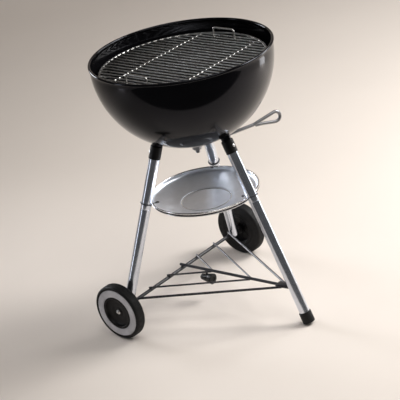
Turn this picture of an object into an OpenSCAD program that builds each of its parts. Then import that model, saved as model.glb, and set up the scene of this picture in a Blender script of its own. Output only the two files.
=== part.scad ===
// Kettle charcoal grill on a three-leg stand: open bowl, ash pan, lower rack and two wheels.
// Z is up. The origin is on the floor, at the centre of the whole grill's footprint.

/* [Bowl] */
// Outer radius of the bowl at its widest
bowl_r = 235; // [230:1:240]
// Height of the bowl's widest circle above the floor
bowl_z = 714; // [708:1:720]
// Thickness of the enamelled bowl wall
bowl_wall = 2; // [1.5:0.1:2.5]
// Height of the straight collar above the widest circle
collar_h = 12; // [8:1:16]
// Diameter of the rolled rim
rim_bead_d = 8; // [7:0.5:10]

/* [Stand] */
// Diameter of the leg tubes
leg_d = 28; // [26:0.5:29]
// Wall of the leg tubes
leg_wall = 1.5; // [1.2:0.1:2]
// Angle that each leg leans from the vertical
leg_splay = 20.5; // [20:0.1:21]
// Distance from the kettle's axis to a leg's axis, measured on the floor
leg_reach = 291; // [288:1:294]

/* [Wheels] */
// Outer radius of a wheel
wheel_r = 76.5; // [74:0.5:78]
// Width of a tyre
wheel_w = 30; // [28:1:34]
// Diameter of the fixed axle rod
axle_d = 9.5; // [8:0.5:10]

/* [Ash pan] */
// Outer radius of the pan's rolled lip
pan_r = 146; // [143:1:147]
// Height of the pan's lip above the floor
pan_z = 337; // [334:1:340]

/* [Grates] */
// Outer radius of the cooking grate
cooking_r = 218; // [214:1:220]
// Outer radius of the charcoal grate
charcoal_r = 170; // [166:1:172]

/* [Vent lever] */
// Reach of the lever's tip from the kettle's axis
lever_reach = 250; // [246:1:254]
// Direction of the lever at rest, counted from +X
lever_angle = -26; // [-30:1:-22]

/* [Hidden] */
$fn = 96;

enamel = [0.07, 0.07, 0.08];
alloy = [0.72, 0.72, 0.74];
rubber_black = [0.06, 0.06, 0.06];
rack_grey = [0.22, 0.22, 0.25];
light_grey = [0.62, 0.62, 0.66];
steel = [0.55, 0.55, 0.57];

// Clearances between pieces that move against each other, and a cut's run past a face
running_fit = 0.05;
body_gap = 0.5;
cut = 1;

// Directions of the three legs from the kettle's axis
front_leg = -90;
left_leg = 150;
right_leg = 30;

// Legs: the axis leans in towards the kettle as it rises
leg_r = leg_d / 2;
leg_slope = tan(leg_splay);
leg_seam_z = 333;
leg_top_z = 491;
sleeve_low_z = 462;
sleeve_top_z = 495;
sleeve_r = leg_r + 1.8;
socket_low_z = 445;
spigot_l = 36;
leg_screw_z = 478;
leg_screw_d = 5;
leg_screw_start = 2;
leg_head_h = 2;
tube_step = 0.3;
lower_r = leg_r - tube_step;
socket_r = leg_r - leg_wall;
socket_flare = 1.5;
socket_blank_h = 26;
foot_cap_r = leg_r + 2.4;
foot_cap_l = 30;
foot_trim = 1.2;
foot_end_z = foot_cap_r * sin(leg_splay) - foot_trim;
foot_floor_t = 4;

function leg_radius(z) = leg_reach - z * leg_slope;
function leg_point(angle, z) = [leg_radius(z) * cos(angle), leg_radius(z) * sin(angle), z];

// Wheels and axle
axle_r = axle_d / 2;
axle_x = leg_radius(wheel_r) * cos(right_leg);
axle_y = leg_radius(wheel_r) * sin(right_leg);
wheel_gap = 3;
wheel_in_x = axle_x + leg_r + wheel_gap;
wheel_out_x = wheel_in_x + wheel_w;
hub_r = 0.58 * wheel_r;
ring_in_r = hub_r + 2;
ring_out_r = 0.87 * wheel_r;
ring_t = 3;
shoulder_r = 7;
hub_dish = 8;
cap_r = 7;
cap_l = 5;
cap_crown = 0.5;
axle_end_x = wheel_out_x - hub_dish + body_gap + cap_l / 2;

// Rack: its wires lie on the axle at the back and rise a little to the front leg
rack_rise = 0.0365;
spine_d = 8;
side_wire_d = 6.5;
strut_d = 5;
side_x = 205;
outer_x = 137;
inner_x = 62;
spine_tail = 8;
wire_tail = 3;
tab_back_y = -202;
tab_t = 8;
tab_lift = 0.8;
tab_half_w = [12, 6];
tab_bite = 4;
tongue_d = 8;
tongue_back = 20;
tongue_past_axis = 2;
// The slanting wires' lines all have this much run to the side for each millimetre forward
wires_meet_past_tab = 36;
rack_run = side_x / (axle_y - tab_back_y + wires_meet_past_tab);
bumper_y = [25, 66];
bumper_d = [30, 16];
bumper_z = 63;
bumper_stub_y = 46;
bumper_stub_d = 6;

function rack_z(y, d) = wheel_r + axle_r + d / 2 + (axle_y - y) * rack_rise;
function rack_point(x, y, d) = [x, y, rack_z(y, d)];

// Ash pan and its clips
pan_lip_d = 5;
pan_sheet = 1.5;
pan_depth = 29;
pan_floor_r = 66;
pan_wall_r = pan_r - pan_lip_d;
pan_skirt = 10;
pan_bead_r = 2;
pan_bead_drop = 7.5;
pan_floor_z = pan_z - pan_depth;
pan_wall_z = pan_z - pan_skirt;
// Centre height and radius of the ball that the pan's dished zone is cut from
pan_ball_z = (pan_wall_r ^ 2 - pan_floor_r ^ 2 + pan_wall_z ^ 2 - pan_floor_z ^ 2)
           / (2 * (pan_wall_z - pan_floor_z));
pan_ball_r = sqrt(pan_floor_r ^ 2 + (pan_ball_z - pan_floor_z) ^ 2);
clip_wire_d = 2.5;
clip_path_r = leg_r + clip_wire_d / 2;
clip_z = pan_z + pan_lip_d / 2 + body_gap + clip_wire_d / 2 + clip_path_r * sin(leg_splay);
eye_d = 2.5;
eye_path_r = 4;
eye_reach = 15;

// Bowl: vents, sweep and grate seats
vent_in_r = 42;
vent_out_r = 88;
vent_half_angle = 13;
vent_angles = [90, 210, 330];
inner_r = bowl_r - bowl_wall;
shaft_r = 6;
blade_t = 1.5;
blade_gap = 0.6;
blade_reach = 106;
blade_half_angle = 16;
blade_hub_r = 26;
blade_turn = 30;
collar_r = 26;
sweep_collar_z = 468;
collar_screw_r = 18;
collar_screw_d = 4;
collar_screw_l = 10;
collar_head_h = 2.2;
collar_head_d = 7;
collar_screw_turns = [for (i = [0 : 2]) lever_angle + 60 + 120 * i];
collar_blank_h = 16;
bottom_cut_h = 40;
lever_hub_r = 13;
lever_hub_z = [455, 467.5];
lever_rod_d = 9.4;
lever_low_z = 461.3;
lever_rise = 0.055;
loop_t = 9.2;
loop_half = 18.4;
loop_root = 164;
loop_inner_end_r = 0.5;
shaft_low_z = 445;
cotter_z = 450;
cotter_d = 3;
cotter_l = 24;
cotter_tail = 11;
nut_h = 6;
nut_d = 20;
nut_gap = 0.4;
shaft_proud = 3;
shaft_top_z = bowl_z - inner_r + blade_gap + blade_t + nut_h + shaft_proud;

function lever_z(r) = lever_low_z + r * lever_rise;

// Grates
grate_wire_d = 6;
bar_d = 5;
weld = 1.2;
bearer_share = 0.45;
handle_gap = 0.02;
floor_bead_r = 1.8;
charcoal_path_r = charcoal_r - grate_wire_d / 2;
charcoal_z = bowl_z - sqrt((inner_r - body_gap - grate_wire_d / 2) ^ 2 - charcoal_path_r ^ 2);
charcoal_pitch = 21;
cooking_path_r = cooking_r - grate_wire_d / 2;
cooking_z = bowl_z - 20;
cooking_pitch = 16;
bracket_angles = [45, 135, 225, 315];
bracket_w = 22;
bracket_t = 3;
bracket_in_r = 204;
handle_w = 70;
handle_h = 26;
handle_x = 172;

// Shift that puts the origin at the middle of the footprint
rim_out_r = bowl_r - 1 + rim_bead_d / 2;
foot_out_r = leg_radius(foot_end_z) + foot_cap_r * cos(leg_splay);
shift_y = (foot_out_r - rim_out_r) / 2;

// ---- Helpers ----

// A round rod from one point to another
module rod(p, q, d) {
  v = q - p;
  flat = norm([v[0], v[1]]);
  translate(p)
    rotate([0, atan2(flat, v[2]), atan2(v[1], v[0])])
      cylinder(d = d, h = norm(v));
}

// Children drawn along a leg: +Z is the leg's axis, +X points away from the kettle
module on_leg(angle, z) {
  translate(leg_point(angle, z))
    rotate([0, 0, angle])
      rotate([0, -leg_splay, 0])
        children();
}

module leg_length_rod(angle, z_low, z_high, r) {
  on_leg(angle, z_low)
    cylinder(r = r, h = (z_high - z_low) / cos(leg_splay));
}

// A wire ring lying flat
module ring(path_r, d) {
  rotate_extrude()
    translate([path_r, 0])
      circle(d = d, $fn = 32);
}

// A flat sector with its point at the axis
module wedge(r, half_angle, h) {
  far = r / cos(half_angle);
  linear_extrude(h)
    polygon([[0, 0], far * [cos(half_angle), -sin(half_angle)], far * [cos(half_angle), sin(half_angle)]]);
}

// Children moved from the kettle's axis to the grill's own frame
module framed() {
  translate([0, shift_y, 0])
    children();
}

// ---- Bowl ----

module bowl_profile() {
  intersection() {
    difference() {
      circle(r = bowl_r);
      circle(r = inner_r);
    }
    translate([0, -bowl_r - cut])
      square([bowl_r + cut, bowl_r + cut]);
  }
  translate([inner_r, 0])
    square([bowl_wall, collar_h]);
}

module vent_cutter(angle) {
  rotate([0, 0, angle])
    translate([0, 0, bowl_z - bowl_r - cut])
      intersection() {
        difference() {
          cylinder(r = vent_out_r, h = bottom_cut_h);
          translate([0, 0, -cut])
            cylinder(r = vent_in_r, h = bottom_cut_h + 2 * cut);
        }
        wedge(2 * vent_out_r, vent_half_angle, bottom_cut_h);
      }
}

module bowl() {
  color(enamel) framed()
    difference() {
      union() {
        translate([0, 0, bowl_z])
          rotate_extrude($fn = 180)
            bowl_profile();
        translate([0, 0, bowl_z + collar_h])
          ring(bowl_r - 1, rim_bead_d);
      }
      for (angle = vent_angles)
        vent_cutter(angle);
      translate([0, 0, bowl_z - bowl_r - cut])
        cylinder(r = shaft_r + running_fit, h = bowl_wall + 2 * cut);
    }
}

module grate_brackets() {
  color(steel) framed()
    for (angle = bracket_angles)
      intersection() {
        rotate([0, 0, angle])
          translate([bracket_in_r, -bracket_w / 2, cooking_z - grate_wire_d / 2 - body_gap - bracket_t])
            cube([bowl_r - bracket_in_r, bracket_w, bracket_t]);
        translate([0, 0, bowl_z])
          sphere(r = inner_r);
      }
}

module sweep_collar() {
  color(steel) framed()
    difference() {
      translate([0, 0, sweep_collar_z])
        cylinder(r = collar_r, h = collar_blank_h);
      translate([0, 0, bowl_z])
        sphere(r = bowl_r);
      translate([0, 0, sweep_collar_z - cut])
        cylinder(r = shaft_r + running_fit, h = collar_blank_h + 2 * cut);
      for (angle = collar_screw_turns)
        rotate([0, 0, angle])
          translate([collar_screw_r, 0, sweep_collar_z - cut])
            cylinder(d = collar_screw_d, h = collar_blank_h + 2 * cut);
    }
}

module collar_screws() {
  color(alloy) framed()
    for (angle = collar_screw_turns)
      rotate([0, 0, angle])
        translate([collar_screw_r, 0, sweep_collar_z]) {
          cylinder(d = collar_screw_d, h = collar_screw_l);
          translate([0, 0, -collar_head_h])
            cylinder(d = collar_head_d, h = collar_head_h);
        }
}

// ---- Legs ----

module leg_screw_cutter(angle) {
  on_leg(angle, leg_screw_z)
    rotate([0, 90, 0])
      cylinder(d = leg_screw_d, h = 2 * sleeve_r);
}

module leg_socket(angle) {
  color(enamel) framed()
    difference() {
      union() {
        leg_length_rod(angle, socket_low_z, sleeve_top_z, socket_r);
        on_leg(angle, sleeve_top_z)
          cylinder(r1 = socket_r, r2 = socket_r + socket_flare, h = socket_blank_h);
      }
      translate([0, 0, bowl_z])
        sphere(r = bowl_r);
      leg_screw_cutter(angle);
    }
}

module leg_socket_front() { leg_socket(front_leg); }
module leg_socket_left() { leg_socket(left_leg); }
module leg_socket_right() { leg_socket(right_leg); }

module leg_sleeve(angle) {
  color(rubber_black) framed()
    difference() {
      leg_length_rod(angle, sleeve_low_z, sleeve_top_z, sleeve_r);
      leg_length_rod(angle, sleeve_low_z - cut, leg_top_z, leg_r);
      leg_length_rod(angle, leg_top_z - cut, sleeve_top_z + cut, socket_r);
      leg_screw_cutter(angle);
    }
}

module leg_sleeve_front() { leg_sleeve(front_leg); }
module leg_sleeve_left() { leg_sleeve(left_leg); }
module leg_sleeve_right() { leg_sleeve(right_leg); }

module upper_leg(angle) {
  color(alloy) framed()
    difference() {
      leg_length_rod(angle, leg_seam_z, leg_top_z, leg_r);
      leg_length_rod(angle, leg_seam_z - cut, leg_top_z + cut, socket_r);
      leg_screw_cutter(angle);
    }
}

module upper_leg_front() { upper_leg(front_leg); }
module upper_leg_left() { upper_leg(left_leg); }
module upper_leg_right() { upper_leg(right_leg); }

// Lower tube with the reduced end that slides up inside the upper tube
module lower_tube(angle, z_low) {
  difference() {
    union() {
      leg_length_rod(angle, z_low, leg_seam_z, lower_r);
      leg_length_rod(angle, z_low, leg_seam_z + spigot_l, socket_r);
    }
    leg_length_rod(angle, z_low - cut, leg_seam_z + spigot_l + cut, leg_r - 2 * leg_wall);
  }
}

module lower_leg_front() {
  color(alloy) framed()
    difference() {
      lower_tube(front_leg, foot_end_z + foot_floor_t);
      tongue();
    }
}

// A wheel leg ends in a rounded plug that the axle rod passes through
module wheel_leg(angle) {
  color(alloy) framed()
    difference() {
      union() {
        lower_tube(angle, wheel_r);
        translate(leg_point(angle, wheel_r))
          sphere(r = leg_r);
        leg_length_rod(angle, wheel_r, wheel_r + axle_d, socket_r);
      }
      axle_cutter();
    }
}

module lower_leg_left() { wheel_leg(left_leg); }
module lower_leg_right() { wheel_leg(right_leg); }

module leg_screws() {
  color(alloy) framed()
    for (angle = [front_leg, left_leg, right_leg])
      on_leg(angle, leg_screw_z)
        rotate([0, 90, 0])
          translate([0, 0, leg_screw_start]) {
            cylinder(d = leg_screw_d, h = sleeve_r - leg_screw_start);
            translate([0, 0, sleeve_r - leg_screw_start])
              cylinder(d = 1.8 * leg_screw_d, h = leg_head_h);
          }
}

module foot_cap() {
  color(rubber_black) framed()
    difference() {
      on_leg(front_leg, foot_end_z)
        cylinder(r = foot_cap_r, h = foot_cap_l);
      leg_length_rod(front_leg, foot_end_z + foot_floor_t, foot_end_z + 2 * foot_cap_l, lower_r);
      translate([-leg_reach, -2 * leg_reach, -leg_reach])
        cube([2 * leg_reach, 2 * leg_reach, leg_reach]);
    }
}

// ---- Axle and wheels ----

module axle_cutter() {
  translate([-wheel_out_x, axle_y, wheel_r])
    rotate([0, 90, 0])
      cylinder(r = axle_r, h = 2 * wheel_out_x);
}

module axle() {
  color(rack_grey) framed()
    translate([-axle_end_x, axle_y, wheel_r])
      rotate([0, 90, 0])
        cylinder(r = axle_r, h = 2 * axle_end_x);
}

// Children turned so that +Z points outwards along the axle, from the wheel's inner face
module at_wheel(side) {
  translate([side * wheel_in_x, axle_y, wheel_r])
    rotate([0, side * 90, 0])
      children();
}

module hub_cap(side) {
  color(alloy) framed()
    at_wheel(side)
      translate([0, 0, wheel_w - hub_dish + body_gap])
        difference() {
          union() {
            cylinder(r = cap_r, h = cap_l / 2 + 1);
            intersection() {
              translate([0, 0, cap_l - cap_r - cap_crown])
                sphere(r = cap_r + cap_crown);
              cylinder(r = cap_r, h = cap_l);
            }
          }
          translate([0, 0, -cut])
            cylinder(r = axle_r, h = cut + cap_l / 2);
        }
}

module hub_cap_left() { hub_cap(-1); }
module hub_cap_right() { hub_cap(1); }

module tyre_profile() {
  difference() {
    union() {
      translate([hub_r, 0])
        square([wheel_r - shoulder_r - hub_r, wheel_w]);
      translate([wheel_r - shoulder_r - cut, shoulder_r])
        square([shoulder_r + cut, wheel_w - 2 * shoulder_r]);
      for (y = [shoulder_r, wheel_w - shoulder_r])
        translate([wheel_r - shoulder_r, y])
          circle(r = shoulder_r);
    }
    translate([ring_in_r, wheel_w - ring_t])
      square([ring_out_r - ring_in_r, ring_t + cut]);
  }
}

module tyre(side) {
  color(rubber_black) framed()
    at_wheel(side)
      rotate_extrude()
        tyre_profile();
}

module left_tyre() { tyre(-1); }
module right_tyre() { tyre(1); }

module wheel_ring(side) {
  color(light_grey) framed()
    at_wheel(side)
      translate([0, 0, wheel_w - ring_t])
        difference() {
          cylinder(r = ring_out_r, h = ring_t);
          translate([0, 0, -cut])
            cylinder(r = ring_in_r, h = ring_t + 2 * cut);
        }
}

module left_wheel_ring() { wheel_ring(-1); }
module right_wheel_ring() { wheel_ring(1); }

module hub_profile() {
  boss_r = 13;
  web_t = 6;
  flange_t = 5;
  bore_r = axle_r + running_fit;
  translate([bore_r, 0])
    square([boss_r - bore_r, wheel_w - hub_dish]);
  translate([boss_r - cut, wheel_w - hub_dish - web_t])
    square([hub_r - boss_r + cut, web_t]);
  translate([hub_r - flange_t, 0])
    square([flange_t, wheel_w]);
}

module wheel_hub(side) {
  color(rubber_black) framed()
    at_wheel(side)
      rotate_extrude()
        hub_profile();
}

module left_wheel_hub() { wheel_hub(-1); }
module right_wheel_hub() { wheel_hub(1); }

// ---- Rack ----

// Outline of the flattened plate where the rack's wires come together
module tab_solid() {
  front_y = -leg_radius(rack_z(tab_back_y, tab_t)) + leg_r - tab_bite;
  translate([0, 0, rack_z(tab_back_y, spine_d) - tab_t / 2 + tab_lift])
    linear_extrude(tab_t)
      polygon([
        [-tab_half_w[0], tab_back_y],
        [tab_half_w[0], tab_back_y],
        [tab_half_w[1], front_y],
        [-tab_half_w[1], front_y]
      ]);
}

module front_leg_solid() {
  leg_length_rod(front_leg, wheel_r, leg_seam_z, lower_r);
}

module tongue() {
  z = rack_z(tab_back_y, spine_d) + tab_lift;
  rod([0, tab_back_y - tongue_back, z], [0, -leg_radius(z) + tongue_past_axis, z], tongue_d);
}

module rack_front_tab() {
  color(rack_grey) framed() {
    difference() {
      tab_solid();
      front_leg_solid();
    }
    tongue();
  }
}

module spine_solid() {
  rod(rack_point(0, axle_y + spine_tail, spine_d), rack_point(0, tab_back_y - wire_tail, spine_d), spine_d);
}

module rack_spine() {
  color(rack_grey) framed()
    difference() {
      spine_solid();
      tab_solid();
    }
}

// A pair of slanting wires, one each side of the spine, both trimmed to the pieces they meet
module slanting_pair(x, d) {
  far_y = axle_y - x / rack_run;
  for (side = [-1, 1])
    difference() {
      rod(rack_point(side * (x + wire_tail * rack_run), axle_y + wire_tail, d),
          rack_point(0, far_y, d), d);
      spine_trim(side);
      tab_solid();
    }
}

// Everything past the spine's own side
module spine_trim(side) {
  spine_solid();
  translate([side > 0 ? -bowl_r : 0, -leg_reach, 0])
    cube([bowl_r, 2 * leg_reach, leg_seam_z]);
}

module rack_side_wires() { color(rack_grey) framed() slanting_pair(side_x, side_wire_d); }
module rack_outer_struts() { color(rack_grey) framed() slanting_pair(outer_x, strut_d); }
module rack_inner_struts() { color(rack_grey) framed() slanting_pair(inner_x, strut_d); }

module stub_solid() {
  translate([0, bumper_stub_y, bumper_z])
    cylinder(d = bumper_stub_d, h = rack_z(bumper_stub_y, spine_d) - bumper_z);
}

module bumper_stub() {
  color(rack_grey) framed()
    difference() {
      stub_solid();
      spine_solid();
    }
}

module rack_bumper() {
  color(rubber_black) framed()
    difference() {
      translate([0, bumper_y[0], bumper_z])
        rotate([-90, 0, 0])
          cylinder(d1 = bumper_d[0], d2 = bumper_d[1], h = bumper_y[1] - bumper_y[0]);
      stub_solid();
    }
}

// ---- Ash pan ----

module pan_clip(angle) {
  ring_in_x = -clip_path_r * cos(leg_splay);
  eye_z = pan_z + pan_lip_d / 2 + body_gap + clip_wire_d / 2;
  root_r = leg_radius(clip_z) + ring_in_x;
  color(rack_grey) framed() {
    on_leg(angle, clip_z)
      ring(clip_path_r, clip_wire_d);
    rotate([0, 0, angle]) {
      rod([root_r, 0, eye_z], [root_r - eye_reach + eye_path_r, 0, eye_z], eye_d);
      translate([root_r - eye_reach, 0, eye_z])
        ring(eye_path_r, eye_d);
    }
  }
}

module pan_clip_front() { pan_clip(front_leg); }
module pan_clip_left() { pan_clip(left_leg); }
module pan_clip_right() { pan_clip(right_leg); }

module pan_profile() {
  translate([pan_r - pan_lip_d / 2, pan_z])
    circle(d = pan_lip_d, $fn = 48);
  translate([pan_wall_r + 0.75 * pan_bead_r, pan_z - pan_bead_drop])
    circle(r = pan_bead_r, $fn = 32);
  translate([pan_wall_r - pan_sheet / 2, pan_wall_z - pan_sheet / 2])
    square([pan_sheet, pan_skirt + pan_sheet / 2]);
  intersection() {
    translate([0, pan_ball_z])
      difference() {
        circle(r = pan_ball_r, $fn = 360);
        circle(r = pan_ball_r - pan_sheet, $fn = 360);
      }
    translate([pan_floor_r, pan_floor_z - 2 * pan_sheet])
      square([pan_wall_r - pan_floor_r, pan_depth]);
  }
  translate([0, pan_floor_z - pan_sheet / 2])
    square([pan_floor_r + pan_sheet / 2, pan_sheet]);
  translate([pan_floor_r, pan_floor_z])
    circle(r = floor_bead_r, $fn = 32);
}

module ash_pan() {
  color(alloy) framed()
    rotate_extrude()
      pan_profile();
}

// ---- Vent sweep and its lever ----

module blade_outline(r_far, h) {
  cylinder(r = blade_hub_r, h = h);
  for (angle = vent_angles)
    rotate([0, 0, angle + blade_turn])
      intersection() {
        wedge(2 * r_far, blade_half_angle, h);
        cylinder(r = r_far, h = h);
      }
}

module sweep_blades() {
  face_r = inner_r - blade_gap;
  low = bowl_z - inner_r;
  color(steel) framed()
    difference() {
      intersection() {
        translate([0, 0, low])
          blade_outline(blade_reach, bottom_cut_h);
        difference() {
          translate([0, 0, bowl_z])
            sphere(r = face_r);
          translate([0, 0, bowl_z])
            sphere(r = face_r - blade_t);
        }
      }
      translate([0, 0, low - cut])
        cylinder(r = shaft_r, h = collar_blank_h);
    }
}

module sweep_shaft() {
  color(steel) framed()
    difference() {
      translate([0, 0, shaft_low_z])
        cylinder(r = shaft_r, h = shaft_top_z - shaft_low_z);
      rotate([0, 0, lever_angle + 90])
        translate([0, 0, cotter_z])
          rotate([0, 90, 0])
            translate([0, 0, -2 * shaft_r])
              cylinder(d = cotter_d, h = 4 * shaft_r);
    }
}

module shaft_nut() {
  color(steel) framed()
    difference() {
      translate([0, 0, bowl_z - inner_r + blade_gap + blade_t + nut_gap])
        cylinder(d = nut_d, h = nut_h, $fn = 6);
      translate([0, 0, bowl_z - inner_r])
        cylinder(r = shaft_r, h = collar_blank_h);
    }
}

module lever_hub_solid() {
  translate([0, 0, lever_hub_z[0]])
    cylinder(r = lever_hub_r, h = lever_hub_z[1] - lever_hub_z[0]);
}

module lever_hub() {
  color(steel) framed()
    difference() {
      lever_hub_solid();
      translate([0, 0, lever_hub_z[0] - cut])
        cylinder(r = shaft_r, h = collar_blank_h);
    }
}

module lever_rod_solid() {
  rod([0, 0, lever_z(0)], [loop_root, 0, lever_z(loop_root)], lever_rod_d);
}

module lever_arm() {
  color(steel) framed()
    rotate([0, 0, lever_angle])
      difference() {
        lever_rod_solid();
        lever_hub_solid();
      }
}

// Outline of a drop with a round end at each side, its narrow end towards the kettle
function drop_outline(root_x, root_r, bow_x, bow_r) =
  let (lean = asin((bow_r - root_r) / (bow_x - root_x)), sweep = 90 + lean, step = sweep / 10)
  concat(
    [for (a = [-sweep : step : sweep]) [bow_x + bow_r * cos(a), bow_r * sin(a)]],
    [for (a = [sweep : (180 - sweep) / 4 : 360 - sweep]) [root_x + root_r * cos(a), root_r * sin(a)]]
  );

// Long loop standing on edge at the lever's end; its wire has the same width all round
module loop_solid() {
  root_r = lever_rod_d / 2;
  bow_x = lever_reach - loop_half;
  hole_r = loop_half - loop_t;
  hole_root_x = bow_x - (hole_r - loop_inner_end_r) * (bow_x - loop_root) / (loop_half - root_r);
  loop_start = loop_root * sqrt(1 + lever_rise ^ 2);
  translate([0, 0, lever_z(0)])
    rotate([90, -atan(lever_rise), 0])
      translate([0, 0, -loop_t / 2])
        difference() {
          linear_extrude(loop_t)
            polygon(drop_outline(loop_root, root_r, bow_x, loop_half));
          translate([0, 0, -cut])
            linear_extrude(loop_t + 2 * cut)
              polygon(drop_outline(hole_root_x, loop_inner_end_r, bow_x, hole_r));
          translate([0, -loop_half, -cut])
            cube([loop_start, 2 * loop_half, loop_t + 2 * cut]);
        }
}

module lever_handle() {
  color(steel) framed()
    rotate([0, 0, lever_angle])
      loop_solid();
}

module cotter_pin() {
  color(steel) framed()
    rotate([0, 0, lever_angle + 90])
      translate([0, 0, cotter_z])
        rotate([0, 90, 0])
          translate([0, 0, -cotter_tail])
            cylinder(d = cotter_d, h = cotter_l);
}

// ---- Grates ----

// Parallel bars welded across a ring, with two bearer bars under them
module grate(path_r, z, pitch) {
  count = floor((path_r - pitch / 2) / pitch);
  bearer_y = path_r * bearer_share;
  translate([0, 0, z]) {
    ring(path_r, grate_wire_d);
    for (i = [-count : count]) {
      half = sqrt(path_r ^ 2 - (i * pitch) ^ 2);
      rod([i * pitch, -half, weld], [i * pitch, half, weld], bar_d);
    }
    for (side = [-1, 1]) {
      half = sqrt(path_r ^ 2 - bearer_y ^ 2);
      rod([-half, side * bearer_y, -weld], [half, side * bearer_y, -weld], bar_d);
    }
  }
}

module charcoal_grate() {
  color(steel) framed()
    grate(charcoal_path_r, charcoal_z, charcoal_pitch);
}

module cooking_grate() {
  color(steel) framed()
    grate(cooking_path_r, cooking_z, cooking_pitch);
}

// Two upright wire handles on the cooking grate
module cooking_grate_handles() {
  foot_z = cooking_z + weld + bar_d / 2 + handle_gap;
  top_z = foot_z + handle_h;
  color(steel) framed()
    for (side = [-1, 1]) {
      x = side * handle_x;
      for (y = [-handle_w / 2, handle_w / 2])
        translate([x, y, foot_z])
          cylinder(d = bar_d, h = handle_h);
      rod([x, -handle_w / 2, top_z], [x, handle_w / 2, top_z], bar_d);
      for (y = [-handle_w / 2, handle_w / 2])
        translate([x, y, top_z])
          sphere(d = bar_d);
    }
}

// ---- Nodes ----

bowl();
grate_brackets();
sweep_collar();
collar_screws();
leg_socket_front();
leg_socket_left();
leg_socket_right();
leg_sleeve_front();
leg_sleeve_left();
leg_sleeve_right();
upper_leg_front();
upper_leg_left();
upper_leg_right();
lower_leg_front();
lower_leg_left();
lower_leg_right();
leg_screws();
foot_cap();
axle();
hub_cap_left();
hub_cap_right();
rack_spine();
rack_side_wires();
rack_outer_struts();
rack_inner_struts();
rack_front_tab();
rack_bumper();
bumper_stub();
pan_clip_front();
pan_clip_left();
pan_clip_right();
ash_pan();
left_tyre();
left_wheel_ring();
left_wheel_hub();
right_tyre();
right_wheel_ring();
right_wheel_hub();
sweep_blades();
sweep_shaft();
shaft_nut();
lever_hub();
lever_arm();
lever_handle();
cotter_pin();
charcoal_grate();
cooking_grate();
cooking_grate_handles();
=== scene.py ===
import math
import random

import bpy
from mathutils import Matrix, Vector


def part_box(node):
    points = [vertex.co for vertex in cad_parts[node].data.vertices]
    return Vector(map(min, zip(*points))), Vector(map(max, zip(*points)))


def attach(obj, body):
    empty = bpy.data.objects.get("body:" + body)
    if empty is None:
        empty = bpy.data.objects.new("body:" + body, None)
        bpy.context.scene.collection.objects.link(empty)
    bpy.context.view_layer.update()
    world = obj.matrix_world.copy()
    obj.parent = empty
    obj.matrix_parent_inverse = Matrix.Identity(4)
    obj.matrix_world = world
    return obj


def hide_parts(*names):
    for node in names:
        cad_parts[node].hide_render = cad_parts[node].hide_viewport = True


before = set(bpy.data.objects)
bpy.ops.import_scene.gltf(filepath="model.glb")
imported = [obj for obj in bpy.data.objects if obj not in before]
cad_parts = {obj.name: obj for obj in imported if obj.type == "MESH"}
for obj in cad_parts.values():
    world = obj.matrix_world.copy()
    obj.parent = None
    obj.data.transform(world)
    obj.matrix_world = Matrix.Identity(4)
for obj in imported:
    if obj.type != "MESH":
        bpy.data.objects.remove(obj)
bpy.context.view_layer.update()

# ---------------------------------------------------------------------------
# The bowl: one sheet of steel, pressed to half a ball with a short straight collar, its edge rolled
# outwards. It is fired with black porcelain enamel inside and out. Three vents are cut in its bottom.

bowl_low, bowl_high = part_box("bowl")
kettle_y = (bowl_low.y + bowl_high.y) / 2
rim_top = bowl_high.z
bowl_r = 0.235
bowl_wall = 0.002
roll_r = 0.0038
collar_h = 0.012
bowl_z = rim_top - collar_h - 0.004
shaft_hole_r = 0.0062
vent_reach = (0.042, 0.088)
vent_half_angle = math.radians(12.5)
vent_turns = [math.radians(a) for a in (90, 210, 330)]


# a turned outline keeps this far off the axis, and points nearer each other than the second are merged
on_axis = 0.00001
merge_gap = 0.00002


def deselect_all():
    bpy.ops.object.select_all(action="DESELECT")


def choose(piece):
    """Only this piece is selected and active."""
    deselect_all()
    piece.select_set(True)
    bpy.context.view_layer.objects.active = piece


def arc(centre, radius, first, last, steps):
    """Points round part of a circle, angles in degrees, both ends included."""
    turns = [math.radians(first + (last - first) * i / steps) for i in range(steps + 1)]
    return [(centre[0] + radius * math.cos(t), centre[1] + radius * math.sin(t)) for t in turns]


def turned(name, outline, steps=64, sweep=360.0, smooth=35.0):
    """A piece made as on a lathe: its outline of (radius, height) points is spun round Z."""
    deselect_all()
    bpy.ops.mesh.primitive_plane_add(size=0.001)
    piece = bpy.context.object
    piece.name = piece.data.name = name
    bpy.ops.object.mode_set(mode="EDIT")
    bpy.ops.mesh.select_mode(type="VERT")
    bpy.ops.mesh.select_all(action="SELECT")
    bpy.ops.mesh.merge(type="CENTER")
    bpy.ops.transform.translate(value=(outline[0][0], 0, outline[0][1]))
    for here, there in zip(outline, outline[1:]):
        step = (there[0] - here[0], 0, there[1] - here[1])
        bpy.ops.mesh.extrude_region_move(TRANSFORM_OT_translate={"value": step})
    bpy.ops.mesh.select_all(action="SELECT")
    bpy.ops.mesh.spin(steps=steps, angle=math.radians(sweep), center=(0, 0, 0), axis=(0, 0, 1))
    bpy.ops.mesh.select_all(action="SELECT")
    bpy.ops.mesh.remove_doubles(threshold=merge_gap)
    bpy.ops.mesh.normals_make_consistent(inside=False)
    bpy.ops.object.mode_set(mode="OBJECT")
    bpy.ops.object.shade_smooth_by_angle(angle=math.radians(smooth))
    return piece


def place(piece, matrix):
    """Puts a finished piece where it belongs, and leaves its place in its mesh."""
    choose(piece)
    piece.matrix_world = matrix
    bpy.ops.object.transform_apply(location=True, rotation=True, scale=True)
    return piece


def pick_faces(piece, wanted):
    """In edit mode, exactly the faces whose centre passes the test are selected."""
    choose(piece)
    bpy.ops.object.mode_set(mode="EDIT")
    bpy.ops.mesh.select_mode(type="FACE")
    bpy.ops.mesh.select_all(action="DESELECT")
    bpy.ops.object.mode_set(mode="OBJECT")
    for face in piece.data.polygons:
        face.select = wanted(face.center)
    bpy.ops.object.mode_set(mode="EDIT")


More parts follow.
